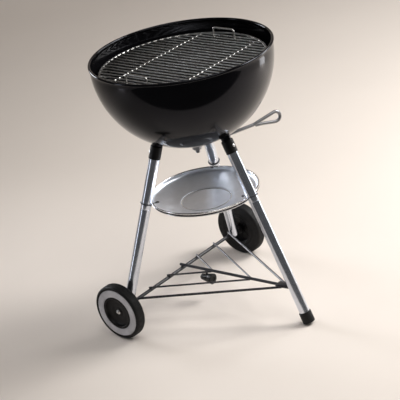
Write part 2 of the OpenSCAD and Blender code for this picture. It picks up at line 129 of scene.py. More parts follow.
def new_finish(name):
    """A material, with its node tree and its surface shader."""
    finish = bpy.data.materials.new(name)
    finish.use_nodes = True
    return finish, finish.node_tree, finish.node_tree.nodes["Principled BSDF"]


def add_node(tree, kind, **settings):
    made = tree.nodes.new(kind)
    for key, value in settings.items():
        setattr(made, key, value)
    return made


def set_inputs(made, **values):
    """Sets a node's inputs by name, each to a value or to what another node gives."""
    for key, value in values.items():
        socket = made.inputs[key.replace("_", " ")]
        if isinstance(value, bpy.types.NodeSocket):
            made.id_data.links.new(value, socket)
        else:
            socket.default_value = value
    return made


def noise_at(tree, vector, **values):
    made = add_node(tree, "ShaderNodeTexNoise")
    return set_inputs(made, Vector=vector, **values).outputs["Fac"]


def remap(tree, value, **values):
    made = add_node(tree, "ShaderNodeMapRange")
    return set_inputs(made, Value=value, **values).outputs["Result"]


def calc(tree, operation, *values, clamped=False):
    """One sum on masks, each of its values a number or what another node gives."""
    made = add_node(tree, "ShaderNodeMath", operation=operation, use_clamp=clamped)
    for socket, value in zip(made.inputs, values):
        if isinstance(value, bpy.types.NodeSocket):
            tree.links.new(value, socket)
        else:
            socket.default_value = value
    return made.outputs["Value"]


def new_group(name, inputs, outputs):
    """An empty shader group: its inputs are (name, kind, start value) rows, its outputs (name, kind) rows."""
    group = bpy.data.node_groups.new(name, "ShaderNodeTree")
    for label, kind, start in inputs:
        socket = group.interface.new_socket(name=label, in_out="INPUT", socket_type=kind)
        if start is not None:
            socket.default_value = start
    for label, kind in outputs:
        group.interface.new_socket(name=label, in_out="OUTPUT", socket_type=kind)
    return group, group.nodes.new("NodeGroupInput"), group.nodes.new("NodeGroupOutput")


# Mottle: a soft cloudy value between Low and High, the unevenness of a sprayed or cast surface
mottle_group, g_in, g_out = new_group(
    "Mottle",
    [("Vector", "NodeSocketVector", None), ("Scale", "NodeSocketFloat", 20.0),
     ("Low", "NodeSocketFloat", 0.0), ("High", "NodeSocketFloat", 1.0)],
    [("Value", "NodeSocketFloat")])
cloud = noise_at(mottle_group, g_in.outputs["Vector"], Scale=g_in.outputs["Scale"], Detail=5.0, Roughness=0.6)
spread = remap(mottle_group, cloud, From_Min=0.3, From_Max=0.7, To_Min=g_in.outputs["Low"],
               To_Max=g_in.outputs["High"])
mottle_group.links.new(spread, g_out.inputs["Value"])

# Edge wear: a broken mask along the outer corners, where handling thins a finish
wear_group, g_in, g_out = new_group(
    "Edge wear",
    [("Vector", "NodeSocketVector", None), ("Start", "NodeSocketFloat", 0.54),
     ("Amount", "NodeSocketFloat", 0.6)],
    [("Mask", "NodeSocketFloat")])
shape_info = add_node(wear_group, "ShaderNodeNewGeometry")
past = remap(wear_group, shape_info.outputs["Pointiness"], From_Min=g_in.outputs["Start"], From_Max=0.62)
chips = noise_at(wear_group, g_in.outputs["Vector"], Scale=260.0, Detail=6.0)
broken = remap(wear_group, chips, From_Min=0.42, From_Max=0.62)
both = calc(wear_group, "MULTIPLY", past, broken)
wear_group.links.new(calc(wear_group, "MULTIPLY", both, g_in.outputs["Amount"]), g_out.inputs["Mask"])

# Dust: a thin uneven film that lies thickest on what faces up
dust_group, g_in, g_out = new_group(
    "Dust",
    [("Vector", "NodeSocketVector", None), ("Amount", "NodeSocketFloat", 0.2)],
    [("Mask", "NodeSocketFloat")])
facing = add_node(dust_group, "ShaderNodeNewGeometry")
parts_of = add_node(dust_group, "ShaderNodeSeparateXYZ")
dust_group.links.new(facing.outputs["Normal"], parts_of.inputs["Vector"])
upward = remap(dust_group, parts_of.outputs["Z"], From_Min=-0.2, To_Min=0.15)
flecks = noise_at(dust_group, g_in.outputs["Vector"], Scale=45.0, Detail=8.0, Roughness=0.7)
both = calc(dust_group, "MULTIPLY", upward, remap(dust_group, flecks, From_Min=0.4, From_Max=0.75))
dust_group.links.new(calc(dust_group, "MULTIPLY", both, g_in.outputs["Amount"]), g_out.inputs["Mask"])


def group_node(tree, group, vector, **values):
    made = set_inputs(add_node(tree, "ShaderNodeGroup", node_tree=group), **values)
    tree.links.new(vector, made.inputs["Vector"])
    return made


def object_place(tree):
    return add_node(tree, "ShaderNodeTexCoord").outputs["Object"]


def blend_colours(tree, mask, first, second):
    """Goes from the first colour to the second as the mask goes from 0 to 1."""
    made = add_node(tree, "ShaderNodeMix", data_type="RGBA")
    tree.links.new(mask, made.inputs[0])
    for socket, colour in ((made.inputs[6], first), (made.inputs[7], second)):
        if isinstance(colour, tuple):
            socket.default_value = (*colour, 1.0)
        else:
            tree.links.new(colour, socket)
    return made.outputs[2]


def add_bump(tree, shader, height, strength, depth, under=None):
    made = set_inputs(add_node(tree, "ShaderNodeBump"), Strength=strength, Distance=depth)
    tree.links.new(height, made.inputs["Height"])
    if under is not None:
        tree.links.new(under, made.inputs["Normal"])
    tree.links.new(made.outputs["Normal"], shader.inputs["Normal"])
    return made.outputs["Normal"]


def enamel_finish(name):
    """Black porcelain enamel: glassy, with a faint orange-peel and a thin film of dust on top."""
    finish, tree, shader = new_finish(name)
    here = object_place(tree)
    cloudy = group_node(tree, mottle_group, here, Scale=9.0)
    dust = group_node(tree, dust_group, here, Amount=0.06)
    black = blend_colours(tree, cloudy.outputs[0], (0.0022, 0.0021, 0.0026), (0.0042, 0.004, 0.0048))
    colour = blend_colours(tree, dust.outputs[0], black, (0.03, 0.03, 0.032))
    tree.links.new(colour, shader.inputs["Base Color"])
    gloss = group_node(tree, mottle_group, here, Scale=14.0, Low=0.08, High=0.14)
    tree.links.new(gloss.outputs[0], shader.inputs["Roughness"])
    peel = noise_at(tree, here, Scale=230.0, Detail=3.0)
    add_bump(tree, shader, peel, 0.04, 0.0003)
    # painted cool reflection: the blue specular tint cools what the enamel reflects
    set_inputs(shader, IOR=1.3, Specular_Tint=(0.84, 0.86, 1.0, 1.0))
    return finish


enamel = enamel_finish("black_enamel")


def bowl_skin(radius, turn):
    """A point of the bowl's skin, its turn in degrees counted from the widest circle."""
    return (radius * math.cos(math.radians(turn)), bowl_z + radius * math.sin(math.radians(turn)))


inner_r = bowl_r - bowl_wall
low_turn = -math.degrees(math.acos(shaft_hole_r / bowl_r))
vent_edges = [-math.degrees(math.acos(r / bowl_r)) for r in (vent_reach[0], vent_reach[1])]
outer_turns = [low_turn + (vent_edges[0] - low_turn) * i / 3 for i in range(3)]
outer_turns += [vent_edges[0] + (vent_edges[1] - vent_edges[0]) * i / 4 for i in range(4)]
outer_turns += [vent_edges[1] * (1 - i / 24) for i in range(25)]
roll_at = (bowl_r - 0.001, bowl_z + collar_h)
outline = [bowl_skin(bowl_r, t) for t in outer_turns]
outline += [(bowl_r, bowl_z + 0.5 * collar_h)]
outline += arc(roll_at, roll_r, -68, 232, 20)
outline += [(inner_r, bowl_z + 0.4 * collar_h)]
outline += [bowl_skin(inner_r, t) for t in reversed(outer_turns)]
outline += [outline[0]]
bowl = turned("bowl_shell", outline, steps=144)


def in_vent(centre, turn):
    reach = math.hypot(centre.x, centre.y)
    off = (math.atan2(centre.y, centre.x) - turn + math.pi) % (2 * math.pi) - math.pi
    return vent_reach[0] < reach < vent_reach[1] and abs(off) < vent_half_angle and centre.z < bowl_z - 0.1


for turn in vent_turns:
    pick_faces(bowl, lambda centre: in_vent(centre, turn))
    bpy.ops.mesh.delete(type="FACE")
    bpy.ops.mesh.select_mode(type="EDGE")
    bpy.ops.mesh.select_all(action="DESELECT")
    bpy.ops.mesh.select_non_manifold(extend=False)
    bpy.ops.mesh.bridge_edge_loops()
    bpy.ops.object.mode_set(mode="OBJECT")
bpy.ops.object.shade_smooth_by_angle(angle=math.radians(35))
place(bowl, Matrix.Translation((0, kettle_y, 0)))
bowl.data.materials.append(enamel)
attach(bowl, "stand")
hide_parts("bowl")

# ---------------------------------------------------------------------------
# Grate brackets: four short steel shelves spot-welded to the bowl's wall, each with a weld bead on top.
# The cooking grate's ring rests on them.

bracket_low, bracket_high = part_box("grate_brackets")
bracket_inner_r = 0.204
bracket_wide = 0.022
bracket_turns = [math.radians(a) for a in (45, 135, 225, 315)]


def block(name, low, high, bevel=0.0, segments=2):
    """A box between two corners, its edges rounded."""
    deselect_all()
    bpy.ops.mesh.primitive_cube_add(size=1)
    piece = bpy.context.object
    piece.name = piece.data.name = name
    piece.scale = [b - a for a, b in zip(low, high)]
    piece.location = [(a + b) / 2 for a, b in zip(low, high)]
    bpy.ops.object.transform_apply(location=True, rotation=True, scale=True)
    if bevel:
        round_edges(piece, bevel, segments)
    return piece


def round_edges(piece, width, segments=2, angle=40.0):
    choose(piece)
    rounded = piece.modifiers.new("rounded", "BEVEL")
    rounded.width = width
    rounded.segments = segments
    rounded.limit_method = "ANGLE"
    rounded.angle_limit = math.radians(angle)
    rounded.harden_normals = False
    bpy.ops.object.modifier_apply(modifier="rounded")
    bpy.ops.object.shade_smooth_by_angle(angle=math.radians(35))


def join(name, pieces):
    """Several finished shapes become one piece."""
    deselect_all()
    for piece in pieces:
        piece.select_set(True)
    bpy.context.view_layer.objects.active = pieces[0]
    bpy.ops.object.join()
    pieces[0].name = pieces[0].data.name = name
    return pieces[0]


def dome(radius, height, at):
    """A small weld bead or rivet head, half sunk where it sits."""
    deselect_all()
    bpy.ops.mesh.primitive_uv_sphere_add(segments=16, ring_count=8, radius=1)
    bead = bpy.context.object
    bead.scale = (radius, radius, height)
    bead.location = at
    bpy.ops.object.transform_apply(location=True, rotation=True, scale=True)
    bpy.ops.object.shade_smooth()
    return bead


def plated_finish(name, colour, worn, grime):
    """Zinc-plated or nickel-plated steel wire: bright, a little cloudy, brown where heat has reached it."""
    finish, tree, shader = new_finish(name)
    here = object_place(tree)
    cloudy = group_node(tree, mottle_group, here, Scale=60.0)
    stain = group_node(tree, mottle_group, here, Scale=17.0, Low=0.0, High=grime)
    wear = group_node(tree, wear_group, here, Amount=0.5)
    light = blend_colours(tree, cloudy.outputs[0], colour, tuple(0.8 * c for c in colour))
    browned = blend_colours(tree, stain.outputs[0], light, (0.16, 0.11, 0.07))
    edged = blend_colours(tree, wear.outputs[0], browned, worn)
    tree.links.new(edged, shader.inputs["Base Color"])
    rough = group_node(tree, mottle_group, here, Scale=90.0, Low=0.24, High=0.42)
    tree.links.new(rough.outputs[0], shader.inputs["Roughness"])
    grain = noise_at(tree, here, Scale=900.0, Detail=4.0)
    add_bump(tree, shader, grain, 0.12, 0.0002)
    set_inputs(shader, Metallic=1.0)
    return finish


grate_plating = plated_finish("grate_steel", (0.55, 0.55, 0.54), (0.78, 0.78, 0.76), 0.35)
shelves = []
for turn in bracket_turns:
    far_r = math.sqrt(inner_r ** 2 - (bowl_z - bracket_low.z) ** 2 - (bracket_wide / 2) ** 2) - 0.0002
    shelf = block("shelf", (bracket_inner_r, -bracket_wide / 2, bracket_low.z),
                  (far_r, bracket_wide / 2, bracket_high.z))
    pick_faces(shelf, lambda centre: centre.x < bracket_inner_r + 0.0001)
    bpy.ops.mesh.bevel(offset=0.005, segments=4, affect="EDGES")
    bpy.ops.object.mode_set(mode="OBJECT")
    round_edges(shelf, 0.0006)
    weld = dome(0.0045, 0.0012, (0.5 * (bracket_inner_r + far_r) + 0.004, 0, bracket_high.z - 0.0012))
    shelves.append(place(join("shelf", [shelf, weld]),
                         Matrix.Translation((0, kettle_y, 0)) @ Matrix.Rotation(turn, 4, "Z")))
shelves = join("bracket_shelves", shelves)
shelves.data.materials.clear()
shelves.data.materials.append(grate_plating)
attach(shelves, "stand")
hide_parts("grate_brackets")

# ---------------------------------------------------------------------------
# Sweep collar: a turned steel boss under the bowl that guides the vent shaft. Three pan-head screws
# are driven up into it, spaced evenly about the lever's swing.

collar_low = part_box("sweep_collar")[0]
collar_r = 0.026
screw_circle_r = 0.018
lever_rest = -26
screw_turns = [math.radians(lever_rest + 60 + 120 * i) for i in range(3)]
screw_shank_r = 0.002
screw_head_r = 0.0034
screw_head_h = 0.0021


def under_bowl(radius):
    """Height of the bowl's outer skin at this distance from the kettle's axis."""
    return bowl_z - math.sqrt(bowl_r ** 2 - radius ** 2)


def lever_metal(name, colour, rough_low, rough_high):
    """Satin steel with a fine crossing grain, duller where it is handled least."""
    finish, tree, shader = new_finish(name)
    here = object_place(tree)
    cloudy = group_node(tree, mottle_group, here, Scale=35.0)
    wear = group_node(tree, wear_group, here, Amount=0.7)
    dust = group_node(tree, dust_group, here, Amount=0.18)
    base = blend_colours(tree, cloudy.outputs[0], colour, tuple(0.72 * c for c in colour))
    edged = blend_colours(tree, wear.outputs[0], base, tuple(min(1.0, 1.5 * c) for c in colour))
    dusty = blend_colours(tree, dust.outputs[0], edged, (0.16, 0.15, 0.14))
    tree.links.new(dusty, shader.inputs["Base Color"])
    rough = group_node(tree, mottle_group, here, Scale=120.0, Low=rough_low, High=rough_high)
    tree.links.new(rough.outputs[0], shader.inputs["Roughness"])
    grain = noise_at(tree, here, Scale=700.0, Detail=5.0)
    add_bump(tree, shader, grain, 0.15, 0.0002)
    set_inputs(shader, Metallic=1.0)
    return finish


lever_steel = lever_metal("lever_steel", (0.36, 0.36, 0.375), 0.28, 0.44)
bore_r = 0.0063
top = [(r, under_bowl(r) - 0.0001) for r in (0.0255, 0.021, 0.016, 0.011, bore_r)]
outline = [(bore_r, collar_low.z + 0.0008), (bore_r + 0.0008, collar_low.z), (0.0235, collar_low.z)]
outline += arc((0.0235, collar_low.z + 0.0025), 0.0025, -90, 0, 6)
outline += [(collar_r, collar_low.z + 0.004), (collar_r - 0.0006, collar_low.z + 0.0046),
            (collar_r - 0.0006, collar_low.z + 0.0058), (collar_r, collar_low.z + 0.0064)]
outline += [(collar_r, under_bowl(collar_r) - 0.0006)] + top + [outline[0]]
collar = turned("sweep_boss", outline, steps=64)
place(collar, Matrix.Translation((0, kettle_y, 0)))
collar.data.materials.append(lever_steel)
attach(collar, "stand")
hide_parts("sweep_collar")


def cut_cross(piece, reach, wide, deep):
    """Cuts a cross recess for a screwdriver into the top of a screw head that stands on Z."""
    top_z = max(v.co.z for v in piece.data.vertices)
    arms = [block("arm", (-a, -b, top_z - deep), (a, b, top_z + deep))
            for a, b in ((reach, wide), (wide, reach))]
    for arm in arms:
        choose(piece)
        recess = piece.modifiers.new("recess", "BOOLEAN")
        recess.operation = "DIFFERENCE"
        recess.object = arm
        recess.solver = "EXACT"
        bpy.ops.object.modifier_apply(modifier="recess")
        bpy.data.objects.remove(arm)
    choose(piece)
    bpy.ops.object.shade_smooth_by_angle(angle=math.radians(35))


def pan_head_screw(name, head_r, head_h, shank_r, shank_l):
    """A screw standing on its shank's end, head up, with a cross recess."""
    outline = [(on_axis, -shank_l), (shank_r - 0.0003, -shank_l), (shank_r, -shank_l + 0.0003), (shank_r, 0),
               (head_r - 0.0002, 0), (head_r, 0.0003)]
    rim_z = 0.35 * head_h
    outline += [(head_r * math.cos(math.radians(t)), rim_z + 0.65 * head_h * math.sin(math.radians(t)))
                for t in (0, 15, 30, 45, 60, 75, 88)]
    outline += [(on_axis, head_h)]
    screw = turned(name, outline, steps=32)
    cut_cross(screw, 0.55 * head_r, 0.13 * head_r, 0.45 * head_h)
    return screw


bright_steel = plated_finish("bright_fastener", (0.72, 0.72, 0.72), (0.85, 0.85, 0.85), 0.05)
screws = []
for turn in screw_turns:
    screw = pan_head_screw("screw", screw_head_r, screw_head_h, screw_shank_r, 0.008)
    at = (screw_circle_r * math.cos(turn), kettle_y + screw_circle_r * math.sin(turn), collar_low.z)
    spot = Matrix.Translation(at)
    screws.append(place(screw, spot @ Matrix.Rotation(math.pi, 4, "X") @ Matrix.Rotation(1.1 * turn, 4, "Z")))
screws = join("boss_screws", screws)
screws.data.materials.append(bright_steel)
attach(screws, "stand")
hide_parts("collar_screws")

# ---------------------------------------------------------------------------
# Leg sockets: three enamelled steel stubs welded to the bowl. Each flares where it meets the bowl and
# runs down inside the top of its leg tube.

splay = math.radians(20.5)
leg_reach = 0.291
leg_names = {"front": -90, "left": 150, "right": 30}
tube_r = 0.014
tube_wall = 0.0015
socket_r = tube_r - tube_wall
socket_low_z = 0.445
socket_top = 0.0072
socket_flare = 0.0015
sleeve_top_z = 0.495


def leg_frame(side, z):
    """Where a leg's axis is at height z: its +Z runs up the leg and its +X points away from the kettle."""
    turn = math.radians(leg_names[side])
    reach = leg_reach - z * math.tan(splay)
    spot = Matrix.Translation((reach * math.cos(turn), kettle_y + reach * math.sin(turn), z))
    return spot @ Matrix.Rotation(turn, 4, "Z") @ Matrix.Rotation(-splay, 4, "Y")


def along(z_from, z_to):
    """Length along a leg between two heights."""
    return (z_to - z_from) / math.cos(splay)


for side in leg_names:
    neck = along(socket_low_z, sleeve_top_z)
    outline = [(socket_r - 0.002, 0), (socket_r - 0.0004, 0), (socket_r, 0.0006), (socket_r, 0.5 * neck),
               (socket_r, neck)]
    outline += [(socket_r + socket_flare * (i / 5) ** 2, neck + socket_top * i / 5) for i in range(1, 6)]
    outline += [(socket_r - 0.002, neck + socket_top), (socket_r - 0.002, 0)]
    socket = turned("socket_" + side, outline, steps=48)
    place(socket, leg_frame(side, socket_low_z))
    # the upper edge is drawn up the leg until it meets the bowl's skin, where a low weld fillet runs round it
    uphill = leg_frame(side, socket_low_z).to_3x3() @ Vector((0, 0, 1))
    start = leg_frame(side, socket_low_z).translation
    choose(socket)
    bpy.ops.object.mode_set(mode="EDIT")
    bpy.ops.mesh.select_mode(type="VERT")
    bpy.ops.mesh.select_all(action="DESELECT")
    bpy.ops.object.mode_set(mode="OBJECT")
    for vertex in socket.data.vertices:
        vertex.select = (vertex.co - start).dot(uphill) > neck + socket_top - 0.0001
    bpy.ops.object.mode_set(mode="EDIT")
    socket.vertex_groups.new(name="upper_edge")
    bpy.ops.object.vertex_group_assign()
    bpy.ops.object.mode_set(mode="OBJECT")
    meet = socket.modifiers.new("meet", "SHRINKWRAP")
    meet.target = bowl
    meet.vertex_group = "upper_edge"
    meet.wrap_method = "NEAREST_SURFACEPOINT"
    bpy.ops.object.modifier_apply(modifier="meet")
    bpy.ops.object.shade_smooth_by_angle(angle=math.radians(50))
    socket.data.materials.append(enamel)
    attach(socket, "stand")
    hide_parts("leg_socket_" + side)

# ---------------------------------------------------------------------------
# Leg sleeves: black moulded collars pushed over the top of each leg tube, with a thin closed upper end
# round the socket.

sleeve_low_z = 0.462
leg_top_z = 0.491
sleeve_r = 0.0158
screw_z = 0.478


def moulded_plastic(name, colour, rough_low, rough_high, dust_amount):
    """Injection-moulded plastic: even colour, fine spark-eroded grain, polished where it is rubbed."""
    finish, tree, shader = new_finish(name)
    here = object_place(tree)
    cloudy = group_node(tree, mottle_group, here, Scale=28.0)
    wear = group_node(tree, wear_group, here, Amount=0.45)
    dust = group_node(tree, dust_group, here, Amount=dust_amount)
    base = blend_colours(tree, cloudy.outputs[0], colour, tuple(0.7 * c for c in colour))
    edged = blend_colours(tree, wear.outputs[0], base, tuple(1.6 * c + 0.006 for c in colour))
    dusty = blend_colours(tree, dust.outputs[0], edged, (0.2, 0.19, 0.18))
    tree.links.new(dusty, shader.inputs["Base Color"])
    rough = group_node(tree, mottle_group, here, Scale=70.0, Low=rough_low, High=rough_high)
    tree.links.new(rough.outputs[0], shader.inputs["Roughness"])
    grain = set_inputs(add_node(tree, "ShaderNodeTexVoronoi"), Scale=1400.0)
    tree.links.new(here, grain.inputs["Vector"])
    add_bump(tree, shader, grain.outputs["Distance"], 0.1, 0.00015)
    set_inputs(shader, IOR=1.35)
    return finish


black_plastic = moulded_plastic("black_plastic", (0.006, 0.006, 0.0065), 0.34, 0.5, 0.04)
for side in leg_names:
    tall = along(sleeve_low_z, sleeve_top_z)
    lip = along(sleeve_low_z, leg_top_z)
    outline = [(tube_r + 0.00015, 0.0005), (tube_r + 0.0006, 0), (sleeve_r - 0.0008, 0)]
    outline += arc((sleeve_r - 0.0008, 0.0008), 0.0008, -80, 0, 4)
    outline += [(sleeve_r, 0.003), (sleeve_r - 0.0005, 0.0036), (sleeve_r - 0.0005, 0.005),
                (sleeve_r, 0.0056)]
    outline += [(sleeve_r, tall - 0.0022)] + arc((sleeve_r - 0.0022, tall - 0.0022), 0.0022, 10, 85, 6)
    outline += [(socket_r + 0.0003, tall), (socket_r + 0.0001, tall - 0.0004), (socket_r + 0.0001, lip),
                (tube_r + 0.00015, lip), (tube_r + 0.00015, 0.0005)]
    sleeve = turned("sleeve_" + side, outline, steps=64)
    place(sleeve, leg_frame(side, sleeve_low_z))
    sleeve.data.materials.append(black_plastic)
    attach(sleeve, "stand")
    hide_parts("leg_sleeve_" + side)

# ---------------------------------------------------------------------------
# Leg tubes: each leg is two drawn aluminium tubes, polished and clear-lacquered. The lower one has a
# reduced end that slides up into the upper one, so a thin seam shows just under the ash pan's clips.

seam_z = 0.333
lower_r = 0.0137
spigot_h = 0.036
axle_z = 0.0765
leg_tilts = {side: leg_frame(side, 0.0).to_3x3().inverted().to_euler() for side in leg_names}


def drawn_aluminium(name, tilt):
    """Polished drawn tube: fine die lines along its length, faint handling haze and tiny scratches."""
    finish, tree, shader = new_finish(name)
    here = object_place(tree)
    lengthwise = add_node(tree, "ShaderNodeMapping", vector_type="POINT")
    lengthwise.inputs["Rotation"].default_value = tilt
    tree.links.new(here, lengthwise.inputs["Vector"])
    drawn = add_node(tree, "ShaderNodeMapping", vector_type="POINT")
    drawn.inputs["Scale"].default_value = (1400.0, 1400.0, 9.0)
    tree.links.new(lengthwise.outputs["Vector"], drawn.inputs["Vector"])
    lines = noise_at(tree, drawn.outputs["Vector"], Scale=1.0, Detail=4.0, Roughness=0.7)
    cloudy = group_node(tree, mottle_group, here, Scale=22.0)
    dust = group_node(tree, dust_group, here, Amount=0.12)
    base = blend_colours(tree, cloudy.outputs[0], (0.74, 0.78, 0.86), (0.64, 0.68, 0.76))
    dusty = blend_colours(tree, dust.outputs[0], base, (0.42, 0.41, 0.4))
    tree.links.new(dusty, shader.inputs["Base Color"])
    rough = remap(tree, lines, From_Min=0.3, From_Max=0.7, To_Min=0.13, To_Max=0.27)
    tree.links.new(rough, shader.inputs["Roughness"])
    along_bump = add_bump(tree, shader, lines, 0.06, 0.0001)
    scratches = noise_at(tree, here, Scale=300.0, Detail=7.0, Roughness=0.8)
    add_bump(tree, shader, scratches, 0.04, 0.0001, under=along_bump)
    set_inputs(shader, Metallic=1.0)
    return finish


for side in leg_names:
    tube_metal = drawn_aluminium("leg_aluminium_" + side, leg_tilts[side])
    tall = along(seam_z, leg_top_z)
    bore = tube_r - tube_wall + 0.0001
    outline = [(bore, 0.0004), (tube_r - 0.0007, 0), (tube_r - 0.0002, 0.0003), (tube_r, 0.0009)]
    outline += [(tube_r, tall * i / 6) for i in range(1, 6)]
    outline += [(tube_r, tall - 0.0005), (tube_r - 0.0005, tall), (bore, tall), (bore, 0.5 * tall),
                (bore, 0.0004)]
    upper = turned("upper_tube_" + side, outline, steps=64)
    place(upper, leg_frame(side, seam_z))
    upper.data.materials.append(tube_metal)
    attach(upper, "stand")
    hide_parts("upper_leg_" + side)

    low_z = 0.0105 if side == "front" else axle_z
    tall = along(low_z, seam_z)
    top_h = tall + along(0, spigot_h)
    bore = tube_r - 2 * tube_wall
    if side == "front":
        outline = [(bore, 0), (lower_r - 0.0005, 0), (lower_r, 0.0005)]
    else:
        outline = arc((0, 0), tube_r, -89.9, 8, 22) + [(lower_r + 0.0001, 0.0045), (lower_r, 0.006)]
    outline += [(lower_r, tall * i / 8) for i in range(1, 8)]
    outline += [(lower_r, tall - 0.0004), (lower_r - 0.0004, tall), (socket_r, tall),
                (socket_r, top_h - 0.001), (socket_r - 0.0008, top_h), (bore, top_h)]
    if side == "front":
        outline += [(bore, 0.5 * tall), outline[0]]
    else:
        outline += [(bore, 0.012), (0.0001, 0.011), outline[0]]
    lower = turned("lower_tube_" + side, outline, steps=64)
    place(lower, leg_frame(side, low_z))
    lower.data.materials.append(tube_metal)
    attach(lower, "stand")
    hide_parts("lower_leg_" + side)

# ---------------------------------------------------------------------------
# Leg screws: one pan-head screw through each sleeve, tube and socket, on the side away from the
# kettle.

leg_screw_head_r = 0.0044
screw_set = []
for side in leg_names:
    screw = pan_head_screw("screw", leg_screw_head_r, 0.0019, 0.0025, 0.012)
    outwards = Matrix.Rotation(math.pi / 2, 4, "Y") @ Matrix.Translation((0, 0, sleeve_r))
    spot = leg_frame(side, screw_z) @ outwards
    screw_set.append(place(screw, spot @ Matrix.Rotation(0.4 + 0.9 * leg_names[side], 4, "Z")))
screw_set = join("socket_screws", screw_set)
screw_set.data.materials.append(bright_steel)
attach(screw_set, "stand")
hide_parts("leg_screws")

# ---------------------------------------------------------------------------
# Foot cap: a matte black plastic boot pushed over the end of the front leg. Its lower edge is worn
# flat where it stands on the ground.

cap_r = 0.0164
cap_len = 0.03
cap_end_z = cap_r * math.sin(splay) - 0.0012
cap_floor = along(0, 0.004)
outline = [(on_axis, 0), (0.008, 0), (cap_r - 0.0018, 0)] + arc((cap_r - 0.0018, 0.0018), 0.0018, -75, 0, 6)
outline += [(cap_r, 0.008), (cap_r, 0.016), (cap_r, cap_len - 0.0042), (cap_r - 0.0004, cap_len - 0.0038),
            (cap_r - 0.0004, cap_len - 0.0028), (cap_r, cap_len - 0.0024)]
outline += arc((cap_r - 0.0009, cap_len - 0.0009), 0.0009, 0, 90, 4)
outline += [(lower_r + 0.0004, cap_len), (lower_r, cap_len - 0.0005), (lower_r, cap_floor),
            (on_axis, cap_floor)]
boot = turned("foot_boot", outline, steps=64)
place(boot, leg_frame("front", cap_end_z))
choose(boot)
bpy.ops.object.mode_set(mode="EDIT")
bpy.ops.mesh.select_all(action="SELECT")
bpy.ops.mesh.bisect(plane_co=(0, 0, 0.00005), plane_no=(0, 0, 1), use_fill=True, clear_inner=True,
                    threshold=0.000001)
bpy.ops.mesh.select_all(action="SELECT")
bpy.ops.mesh.remove_doubles(threshold=merge_gap)
bpy.ops.mesh.normals_make_consistent(inside=False)
bpy.ops.object.mode_set(mode="OBJECT")
bpy.ops.object.shade_smooth_by_angle(angle=math.radians(35))
boot_plastic = moulded_plastic("boot_plastic", (0.008, 0.008, 0.0085), 0.5, 0.66, 0.07)
boot.data.materials.append(boot_plastic)
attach(boot, "stand")
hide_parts("foot_cap")

# ---------------------------------------------------------------------------
# Axle and rack: a round steel axle, and the rack's wires lying on it and gathering towards the front
# leg, all resistance-welded where they cross and coated dark grey.

axle_low, axle_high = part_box("axle")
axle_y = (axle_low.y + axle_high.y) / 2
axle_r = 0.00475
axle_end_x = axle_high.x
rack_rise = 0.0365
spine_d = 0.008
side_wire_d = 0.0065
strut_d = 0.005
side_wire_x = 0.205
gather_x = 0.0095
tab_back_y = kettle_y - 0.202
rack_run = side_wire_x / (axle_y - tab_back_y + 0.036)


def rack_z(y, d):
    """Height of a rack wire's axis: it lies on the axle and rises a little towards the front leg."""
    return axle_z + axle_r + d / 2 + (axle_y - y) * rack_rise


def wires(name, runs, thickness, closed=False, sides=6):
    """Round wire along one or more runs of points, its ends closed."""
    curve = bpy.data.curves.new(name, "CURVE")
    curve.dimensions = "3D"
    curve.bevel_depth = thickness / 2
    curve.bevel_resolution = sides
    curve.use_fill_caps = not closed
    for run in runs:
        spline = curve.splines.new("POLY")
        spline.points.add(len(run) - 1)
        for point, at in zip(spline.points, run):
            point.co = (*at, 1.0)
        spline.use_cyclic_u = closed
        spline.use_smooth = True
    piece = bpy.data.objects.new(name, curve)
    bpy.context.collection.objects.link(piece)
    choose(piece)
    bpy.ops.object.convert(target="MESH")
    bpy.ops.object.mode_set(mode="EDIT")
    bpy.ops.mesh.select_all(action="SELECT")
    bpy.ops.mesh.remove_doubles(threshold=merge_gap)
    bpy.ops.mesh.normals_make_consistent(inside=False)
    bpy.ops.object.mode_set(mode="OBJECT")
    bpy.ops.object.shade_smooth_by_angle(angle=math.radians(45))
    return piece


def bent(corners, radius, steps=8):
    """The corners of a wire's run, each one rounded as by a bending former."""
    run = [Vector(corners[0])]
    for before, corner, after in zip(corners, corners[1:], corners[2:]):
        before, corner, after = Vector(before), Vector(corner), Vector(after)
        back, on = (before - corner), (after - corner)
        reach = min(radius, 0.49 * back.length, 0.49 * on.length)
        first, last = corner + back.normalized() * reach, corner + on.normalized() * reach
        for i in range(steps + 1):
            t = i / steps
            run.append(first * (1 - t) ** 2 + corner * 2 * t * (1 - t) + last * t ** 2)
    return run + [Vector(corners[-1])]


def coated_wire(name):
    """Dark grey powder coat on steel wire: a soft sheen, pinholes, and bare metal showing at rubbed tops."""
    finish, tree, shader = new_finish(name)
    here = object_place(tree)
    cloudy = group_node(tree, mottle_group, here, Scale=40.0)
    rubbed = group_node(tree, wear_group, here, Start=0.56, Amount=0.35)
    dust = group_node(tree, dust_group, here, Amount=0.1)
    base = blend_colours(tree, cloudy.outputs[0], (0.026, 0.027, 0.033), (0.016, 0.017, 0.021))
    bare = blend_colours(tree, rubbed.outputs[0], base, (0.2, 0.2, 0.21))
    dusty = blend_colours(tree, dust.outputs[0], bare, (0.15, 0.145, 0.14))
    tree.links.new(dusty, shader.inputs["Base Color"])
    rough = group_node(tree, mottle_group, here, Scale=85.0, Low=0.26, High=0.4)
    tree.links.new(rough.outputs[0], shader.inputs["Roughness"])
    peel = noise_at(tree, here, Scale=600.0, Detail=3.0)
    add_bump(tree, shader, peel, 0.14, 0.0003)
    set_inputs(shader, Metallic=0.35, IOR=1.5, Coat_Weight=0.15, Coat_Roughness=0.2)
    return finish


rack_paint = coated_wire("rack_paint")


def rod_along_x(name, radius, half_length, bevel):
    outline = [(on_axis, -half_length), (radius - bevel, -half_length), (radius, -half_length + bevel)]
    outline += [(radius, half_length * i / 4) for i in range(-3, 4)]
    outline += [(radius, half_length - bevel), (radius - bevel, half_length), (on_axis, half_length)]
    return place(turned(name, outline, steps=32), Matrix.Rotation(math.pi / 2, 4, "Y"))


